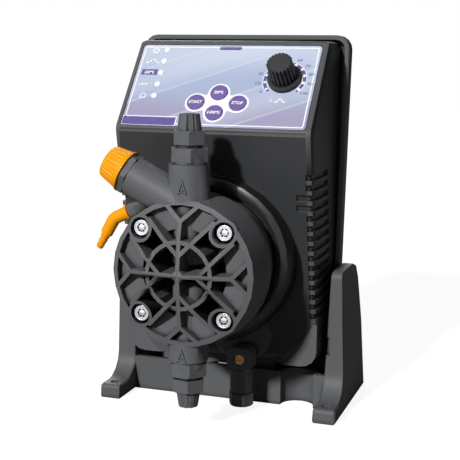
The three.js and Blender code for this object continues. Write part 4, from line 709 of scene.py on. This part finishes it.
# return spring: its front coil seats in the solenoid core and its rear coil on the shaft
springLook = {"wire": 0.5, "turns": 5, "steps": 24, "sides": 10, "smooth": 50}
low, high = (Vector(corner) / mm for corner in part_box("return_spring"))
middle = (low + high) / 2
spring = openRing("return_spring_wire", springLook["sides"], springLook["wire"])
bpy.ops.transform.translate(value=((high.x - middle.x - springLook["wire"]) * mm, 0, 0))
rings = springLook["turns"] * springLook["steps"]
bpy.ops.mesh.spin(steps=rings, angle=springLook["turns"] * math.tau, center=(0, 0, 0), axis=(0, 1, 0),
                  use_auto_merge=False)
# the flat coil is drawn out along its axis, ring by ring
coil = bmesh.from_edit_mesh(spring.data)
coil.verts.index_update()
rise = high.y - low.y - springLook["wire"] * 2
for vertex in coil.verts:
    vertex.co.y += vertex.index // springLook["sides"] * rise / rings * mm
bmesh.update_edit_mesh(spring.data)
closeSmooth(spring, springLook["smooth"])
settle(spring, Matrix.Translation(Vector((middle.x, low.y + springLook["wire"], middle.z)) * mm))
spring.data.materials.append(made["platedSteel"])
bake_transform(spring)
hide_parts("return_spring")
print("return spring made")

# head screws: a rolled rim stands round each head, and a hexagonal floor shines in its socket
screwLook = {"front": -79.5, "rim": 3.6, "edge": 0.1, "groove": 3.05, "rise": 0.12, "sunk": 0.3, "socket": 1.75,
             "floorDepth": 1.4, "floorRise": 1.0, "floorDome": 0.25, "sides": 40, "smooth": 30, "floorSmooth": 20}
for count, (spot, heading) in enumerate(screwAxes, 1):
    front = Matrix.Translation(Vector((spot[0], screwLook["front"], spot[2])) * mm)
    front = front @ Matrix.Rotation(math.pi / 2, 4, "X")
    rim = openRing(f"head_screw_rim_{count}", screwLook["sides"], screwLook["rim"], -screwLook["sunk"])
    height = screwLook["sunk"] + screwLook["rise"]
    pushRings(rim, [(height, screwLook["rim"] - screwLook["edge"]), (0, screwLook["groove"]),
                    (-height, screwLook["groove"])], screwLook["rim"])
    closeSmooth(rim, screwLook["smooth"])
    corner = screwLook["socket"] / math.cos(math.pi / 6)
    core = openRing(f"head_screw_core_{count}", 6, corner, -screwLook["floorDepth"])
    pushRings(core, [(screwLook["floorRise"], corner), (screwLook["floorDome"], corner / 2)], corner)
    closeSmooth(core, screwLook["floorSmooth"])
    for part in (rim, core):
        settle(part, front)
        dress(part, "platedSteel", "pump")
print("head screws made")

# seat rib wings: the rear seat rib runs out to the towers, with a pocket cored out of each side of a wing
wingLook = {"low": (23.8, 12.3, 3.4), "high": (51.6, 15.3, 24.2), "rim": 3.0, "pocket": 1.2, "draft": 0.3,
            "smooth": 25}
for side, sign in (("left", -1), ("right", 1)):
    low, high = Vector(wingLook["low"]) * mm, Vector(wingLook["high"]) * mm
    middle = (low + high) / 2
    bpy.ops.mesh.primitive_cube_add(size=1, location=(sign * middle.x, middle.y, middle.z))
    wing = current(f"seat_rib_wing_{side}")
    wing.scale = high - low
    settle(wing)
    bpy.ops.object.mode_set(mode="EDIT")
    for facing in (-1, 1):
        selectFaces(wing, lambda part: part.normal.y * facing > 0.9)
        bpy.ops.mesh.inset(thickness=wingLook["rim"] * mm)
        bpy.ops.mesh.inset(thickness=wingLook["draft"] * mm, depth=-wingLook["pocket"] * mm)
    faceOut()
    smoothed(wing, wingLook["smooth"])
    dress(wing, "mouldedAbs", bodyOf["base_bracket"])
print("seat rib wings made")


# printed label: every print is a thin sheet of ink on the film
def disc(name, points, radius=1.0):
    bpy.ops.mesh.primitive_circle_add(vertices=points, radius=radius, fill_type="NGON", location=(0, 0, 0))
    return current(name)


def keepRim(width):
    # only a rim of this width, in mm, is left of the selected sheet
    bpy.ops.mesh.inset(thickness=width * mm)
    bpy.ops.mesh.delete(type="FACE")


def inkPlane(name, size, corner=0.0, sides=4):
    bpy.ops.mesh.primitive_plane_add(size=1, location=(0, 0, 0))
    piece = current(name)
    piece.scale = (size[0] * mm, size[1] * mm, 1)
    bpy.ops.object.transform_apply(location=False, rotation=False, scale=True)
    editAll()
    if corner:
        bpy.ops.mesh.bevel(offset=corner * mm, segments=sides, affect="VERTICES")
    leaveEdit()
    return piece


def inkDown(piece, place, face, body="pump", finish="whiteInk", turn=0.0):
    # gives the sheet its thickness and lays it on the panel
    pick(piece)
    editAll()
    pushRing(piece, (0, 0, panelLook["ink"]))
    faceOut()
    leaveEdit()
    lay = Matrix.Translation(Vector((*place, face)) * mm) @ Matrix.Rotation(math.radians(turn), 4, "Z")
    settle(piece, panelTurn @ lay)
    dress(piece, finish, body)


def inkWords(name, words, place, size, face, body="pump", finish="whiteInk", lean=0.0,
             heavy=0.0):
    bpy.ops.object.text_add(location=(0, 0, 0))
    piece = current(name)
    piece.data.body = words
    piece.data.align_x = "CENTER"
    piece.data.align_y = "CENTER"
    piece.data.shear = lean
    piece.data.offset = heavy
    piece.data.resolution_u = 3
    pick(piece)
    bpy.ops.object.convert(target="MESH")
    piece = bpy.context.object
    low = [min(vertex.co[axis] for vertex in piece.data.vertices) for axis in (0, 1)]
    high = [max(vertex.co[axis] for vertex in piece.data.vertices) for axis in (0, 1)]
    centre = Vector(((low[0] + high[0]) / 2, (low[1] + high[1]) / 2, 0))
    grow = Matrix.Diagonal((size[0] * mm / (high[0] - low[0]), size[1] * mm / (high[1] - low[1]), 1, 1))
    piece.data.transform(grow @ Matrix.Translation(-centre))
    inkDown(piece, place, face, body, finish)


face = panelLook["face"]

# lamps: a low milky lens with a rounded shoulder stands on the film
lampLook = {"across": -33.3, "top": 21.7, "pitch": 7.15, "radius": 1.6, "low": -0.25, "sides": 28, "smooth": 50,
            "steps": [(0.35, 1.0), (0.14, 0.88), (0.06, 0.6)]}
for count, node in enumerate(lamps):
    lens = openRing(node + "_lens", lampLook["sides"], lampLook["radius"], lampLook["low"])
    for move, share in lampLook["steps"]:
        pushRing(lens, (0, 0, move), share)
    closeSmooth(lens, lampLook["smooth"])
    spot = Vector((lampLook["across"], lampLook["top"] - lampLook["pitch"] * count, 0))
    settle(lens, panelTurn @ Matrix.Translation(spot * mm))
    dress(lens, "lampAcrylic", bodyOf[node])
    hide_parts(node)
print("lamps made")

# thin white line round the film's edge
borderLook = {"inset": 1.0, "line": 0.65, "corner": 1.2}
borderSize = [panelLook[key] - 2 * borderLook["inset"] for key in ("width", "height")]
border = inkPlane("label_border", borderSize, borderLook["corner"])
editAll()
keepRim(borderLook["line"])
leaveEdit()
inkDown(border, (0, 0), face)

# key pad: a white field of four joined discs
padLook = {"centre": (0.15, -10.5), "across": 10.7, "up": 5.95, "radius": 5.6, "blend": 3.2, "points": 96,
           "reach": 20, "step": 0.05}


def padEdge(angle, look):
    # the outermost point along this direction that lies inside the softly joined discs
    discs = [(look["across"], 0), (-look["across"], 0), (0, look["up"]), (0, -look["up"])]
    reach = look["reach"]
    while reach > 0:
        spot = Vector((math.cos(angle), math.sin(angle))) * reach
        gap = None
        for disc in discs:
            away = (spot - Vector(disc)).length - look["radius"]
            if gap is None:
                gap = away
            else:
                share = max(look["blend"] - abs(gap - away), 0) / look["blend"]
                gap = min(gap, away) - share * share * look["blend"] / 4
        if gap < 0:
            return reach
        reach -= look["step"]
    return look["radius"]


pad = disc("key_field", padLook["points"])
for vertex in pad.data.vertices:
    angle = math.atan2(vertex.co.y, vertex.co.x)
    reach = padEdge(angle, padLook) * mm
    vertex.co = (math.cos(angle) * reach, math.sin(angle) * reach, 0)
inkDown(pad, padLook["centre"], face)

# words on the four keys
letterLook = {"height": 1.9, "lean": 0.1, "heavy": 0.06}
keyWords = {"key_start_cap": ("START", (-10.55, -10.5), 7.0), "key_twenty_cap": ("20%", (0.15, -4.55), 5.2),
            "key_stop_cap": ("STOP", (10.85, -10.5), 6.0), "key_hundred_cap": ("100%", (0.15, -16.45), 6.8)}
for body, (words, place, width) in keyWords.items():
    inkWords(body + "_words", words, place, (width, letterLook["height"]), panelLook["keyFace"], body,
             lean=letterLook["lean"], heavy=letterLook["heavy"])

# left column: a symbol or a figure beside each lamp
boxLook = {"place": (-39.5, 7.45), "size": (8.6, 3.4), "corner": 0.3, "letters": (5.8, 1.9)}
hundredLook = {"place": (-39.5, 0.2), "letters": (8.0, 2.0), "heavy": 0.07}
inkDown(inkPlane("twenty_box", boxLook["size"], boxLook["corner"]), boxLook["place"], face, finish="violetInk")
inkWords("twenty_words", "20%", boxLook["place"], boxLook["letters"], face + panelLook["ink"],
         lean=letterLook["lean"], heavy=letterLook["heavy"])
inkWords("hundred_words", "100%", hundredLook["place"], hundredLook["letters"], face, lean=letterLook["lean"],
         heavy=hundredLook["heavy"])


def inkBar(name, start, end, width):
    # one straight stroke of a symbol
    run = Vector(end) - Vector(start)
    piece = inkPlane(name, (run.length + width, width), width * 0.3, sides=2)
    middle = (Vector(start) + Vector(end)) / 2
    inkDown(piece, middle, face, turn=math.degrees(math.atan2(run.y, run.x)))
    return piece


def joined(name, pieces):
    deselect()
    for piece in pieces:
        piece.select_set(True)
    bpy.context.view_layer.objects.active = pieces[0]
    bpy.ops.object.join()
    return current(name)


def inkStrokes(name, points, width):
    return joined(name, [inkBar(f"{name}_{step}", start, end, width)
                         for step, (start, end) in enumerate(zip(points, points[1:]))])


def inkRing(name, place, radius, width, start=-180.0, end=180.0, finish="whiteInk", points=64,
            height=panelLook["face"]):
    # a flat ring, or the part of it between two angles from straight up
    piece = disc(name, points, (radius + width / 2) * mm)
    editAll()
    keepRim(width)

    def isOutside(part):
        spot = part.calc_center_median()
        return not start <= math.degrees(math.atan2(spot.x, spot.y)) <= end
    selectFaces(piece, isOutside)
    bpy.ops.mesh.delete(type="FACE")
    leaveEdit()
    inkDown(piece, place, height, finish=finish)
    return piece


pulse = [(-3.3, -1.1), (-1.7, -1.1), (-1.0, 1.0), (0.9, 1.0), (1.5, -1.1), (3.3, -1.1)]
bell = [(-1.9, -1.2), (-1.3, -0.5), (-1.2, 0.7), (-0.5, 1.5), (0.5, 1.5), (1.2, 0.7), (1.3, -0.5), (1.9, -1.2),
        (-1.9, -1.2)]
symbolLook = {"pulse": (-39.3, 14.6), "alarm": (-39.3, -7.0), "ring": (-39.3, 21.3), "radius": 1.5, "gap": 35,
              "bar": ((-39.3, 21.6), (-39.3, 23.2)), "line": 0.7, "thin": 0.56}


def movedTo(points, place):
    return [(across + place[0], up + place[1]) for across, up in points]


inkStrokes("pulse_symbol", movedTo(pulse, symbolLook["pulse"]), symbolLook["line"])
ringEnds = {"power_ring": (symbolLook["gap"], 180), "power_other": (-180, -symbolLook["gap"])}
ringParts = [inkRing(name, symbolLook["ring"], symbolLook["radius"], symbolLook["line"], *ends)
             for name, ends in ringEnds.items()]
joined("power_symbol", [*ringParts, inkBar("power_bar", *symbolLook["bar"], symbolLook["line"])])
inkStrokes("alarm_symbol", movedTo(bell, symbolLook["alarm"]), symbolLook["thin"])

# bare places: the pill at the top, and the strip at the lower left with its white edge
bareLook = {
    "top_pill": {"place": (0.2, 22.9), "size": (11.6, 2.2), "corner": 1.05, "sides": 6, "lift": 0,
                 "finish": "violetInk"},
    "strip_edge": {"place": (-32.2, -21.85), "size": (28.4, 5.5), "corner": 0.4, "sides": 4, "lift": 0,
                   "finish": "whiteInk"},
    "strip_field": {"place": (-32.4, -22.05), "size": (27.6, 4.7), "corner": 0.3, "sides": 4, "lift": 0.02,
                    "finish": "violetInk"},
}
for name, look in bareLook.items():
    sheet = inkPlane(name, look["size"], look["corner"], look["sides"])
    inkDown(sheet, look["place"], face + look["lift"], finish=look["finish"])

# knob scale: white-edged violet arc, white dots, figures 0 to 100
scaleLook = {"radius": 9.75, "band": 1.7, "edge": 2.35, "end": 134, "edgeEnd": 136, "points": 120, "lift": 0.02,
             "reach": 125, "step": 25, "figures": 12.4, "spread": 0.35, "dot": 0.66, "dotGrows": 0.02,
             "dotSides": 16, "height": 1.5, "digit": 1.25, "heavy": 0.005}
centre = Vector(knobLook["place"])
inkRing("scale_edge", centre, scaleLook["radius"], scaleLook["edge"], -scaleLook["edgeEnd"], scaleLook["edgeEnd"],
        points=scaleLook["points"])
inkRing("scale_band", centre, scaleLook["radius"], scaleLook["band"], -scaleLook["end"], scaleLook["end"],
        "violetInk", scaleLook["points"], face + scaleLook["lift"])
dots = []
for count in range(11):
    angle = math.radians(-scaleLook["reach"] + scaleLook["step"] * count)
    out = Vector((math.sin(angle), math.cos(angle)))
    radius = (scaleLook["dot"] + scaleLook["dotGrows"] * count) * mm
    dots.append(disc(f"scale_dot_{count}", scaleLook["dotSides"], radius))
    inkDown(dots[-1], centre + out * scaleLook["radius"], face + 2 * scaleLook["lift"])
    figure = str(10 * count)
    far = scaleLook["figures"] + scaleLook["spread"] * len(figure)
    size = (scaleLook["digit"] * len(figure), scaleLook["height"])
    inkWords(f"scale_figure_{count}", figure, centre + out * far, size, face, finish="navyInk",
             heavy=scaleLook["heavy"])
joined("scale_dots", dots)
rateLook = {"pulse": (31.4, -8.1), "narrow": 0.74, "flat": 0.85, "percent": (26.8, -8.0), "size": (1.8, 1.8),
            "heavy": 0.03}
ratePulse = [(across * rateLook["narrow"], up * rateLook["flat"]) for across, up in pulse]
inkStrokes("rate_pulse", movedTo(ratePulse, rateLook["pulse"]), symbolLook["line"])
inkWords("rate_percent", "%", rateLook["percent"], rateLook["size"], face, heavy=rateLook["heavy"])
print("label printed")

# flow arrows on the two ports: a raised arrow head in outline, wrapped on the port's front
arrowLook = {"tall": 7.0, "wide": 4.6, "line": 0.6, "rise": 0.4, "sunk": 0.24, "radius": 9.4, "cuts": 5,
             "notch": 1.2, "dischargeMiddle": 118.6, "suctionMiddle": 41.0}


def flowArrow(name, middle, look):
    piece = disc(name, 4)
    foot = -look["tall"] / 2
    corners = [(0, look["tall"] / 2), (-look["wide"] / 2, foot), (0, foot + look["notch"]),
               (look["wide"] / 2, foot)]
    for vertex, (across, up) in zip(piece.data.vertices, corners):
        vertex.co = (across * mm, up * mm, 0)
    editAll()
    faceOut()
    keepRim(look["line"])
    bpy.ops.mesh.select_all(action="SELECT")
    bpy.ops.mesh.subdivide(number_cuts=look["cuts"])
    pushRing(piece, (0, 0, look["rise"] + look["sunk"]))
    faceOut()
    leaveEdit()
    for vertex in piece.data.vertices:
        angle = vertex.co.x / (look["radius"] * mm)
        reach = (look["radius"] - look["sunk"]) * mm + vertex.co.z
        vertex.co = (reach * math.sin(angle), valveDepth * mm - reach * math.cos(angle), middle * mm + vertex.co.y)
    settle(piece)
    dress(piece, "glassFilledHead", "pump")


flowArrow("discharge_arrow", arrowLook["dischargeMiddle"], arrowLook)
flowArrow("suction_arrow", arrowLook["suctionMiddle"], arrowLook)
print("flow arrows made")


# studio: a pale floor that keeps the shadow, a sharp key sun, a soft one from behind and a weak sky
def seenRays(tree):
    # the camera's rays, and all rays that show the white surroundings: camera, mirrored and passed through
    rays = addNode(tree, "LightPath")
    direct = addNode(tree, "Math", {"operation": "MAXIMUM"},
                     links={0: rays.outputs["Is Camera Ray"], 1: rays.outputs["Is Glossy Ray"]})
    every = addNode(tree, "Math", {"operation": "MAXIMUM"},
                    links={0: direct, 1: rays.outputs["Is Transmission Ray"]})
    return rays.outputs["Is Camera Ray"], every.outputs[0]


# mirrored in the object, the floor is white only ahead of it
floorLook = {"size": 6.0, "colour": "#7c7c7e", "lift": 0.91, "grain": 2.0, "near": -0.1, "far": -0.5}
bpy.ops.mesh.primitive_plane_add(size=floorLook["size"], location=(0, 0, 0))
floor = current("studio_floor")
floorPaint, tree = emptyMaterial("matteFloor")
coord = addNode(tree, "TexCoord").outputs["Object"]
speckle = addNode(tree, "TexNoise", values={"Scale": 1 / (floorLook["grain"] * mm)}, links={"Vector": coord})
bump = addNode(tree, "Bump", values={"Strength": 0.05, "Distance": 0.1 * mm}, links={"Height": speckle})
matte = addNode(tree, "BsdfDiffuse", values={"Color": linear(floorLook["colour"])}, links={"Normal": bump})
byCamera, seen = seenRays(tree)
spot = addNode(tree, "SeparateXYZ", links={0: coord})
ahead = addNode(tree, "MapRange",
                values={"From Min": floorLook["near"], "From Max": floorLook["far"], "To Max": floorLook["lift"]},
                links={"Value": spot.outputs[1]})
lift = addNode(tree, "Mix", {"data_type": "FLOAT"}, {3: floorLook["lift"]}, {0: byCamera, 2: ahead})
glow = addNode(tree, "Emission", values={"Color": (1, 1, 1, 1)}, links={"Strength": lift})
dark = addNode(tree, "Emission", values={"Color": (0, 0, 0, 1), "Strength": 0})
chosen = addNode(tree, "MixShader", links={0: seen, 1: dark, 2: glow})
both = addNode(tree, "AddShader", links={0: matte, 1: chosen})
finishMaterial(tree, both)
floor.data.materials.append(floorPaint)

# the sky is white to the camera, mirrored white ahead and dark behind, and lights the object little
skyLook = {"seen": 1.0, "light": 0.035, "behind": 0.05, "turn": 0.3}
world = bpy.data.worlds.new("studioSky")
world.use_nodes = True
scene.world = world
tree = world.node_tree
tree.nodes.clear()
byCamera, seen = seenRays(tree)
heading = addNode(tree, "SeparateXYZ", links={0: addNode(tree, "TexCoord").outputs["Generated"]})
behind = addNode(tree, "MapRange", values={"From Min": -skyLook["turn"], "From Max": skyLook["turn"],
                                           "To Min": skyLook["seen"], "To Max": skyLook["behind"]},
                 links={"Value": heading.outputs[1]})
mirrored = addNode(tree, "Mix", {"data_type": "FLOAT"}, {3: skyLook["seen"]}, {0: byCamera, 2: behind})
strength = addNode(tree, "Mix", {"data_type": "FLOAT"}, {2: skyLook["light"]}, {0: seen, 3: mirrored})
sky = addNode(tree, "Background", values={"Color": (1, 1, 1, 1)}, links={"Strength": strength})
addNode(tree, "OutputWorld", links={"Surface": sky})

keyLook = {"towards": (0.2, 0.86, -0.47), "strength": 3.4, "angle": 4.0}
backLook = {"towards": (0.35, -0.8, -0.5), "strength": 1.3, "angle": 30.0}


def addSun(name, look):
    data = bpy.data.lights.new(name, "SUN")
    data.energy = look["strength"]
    data.angle = math.radians(look["angle"])
    lamp = bpy.data.objects.new(name, data)
    lamp.rotation_euler = Vector(look["towards"]).to_track_quat("-Z", "Y").to_euler()
    scene.collection.objects.link(lamp)


addSun("keyLight", keyLook)
addSun("backLight", backLook)
print("studio lit")

deselect()
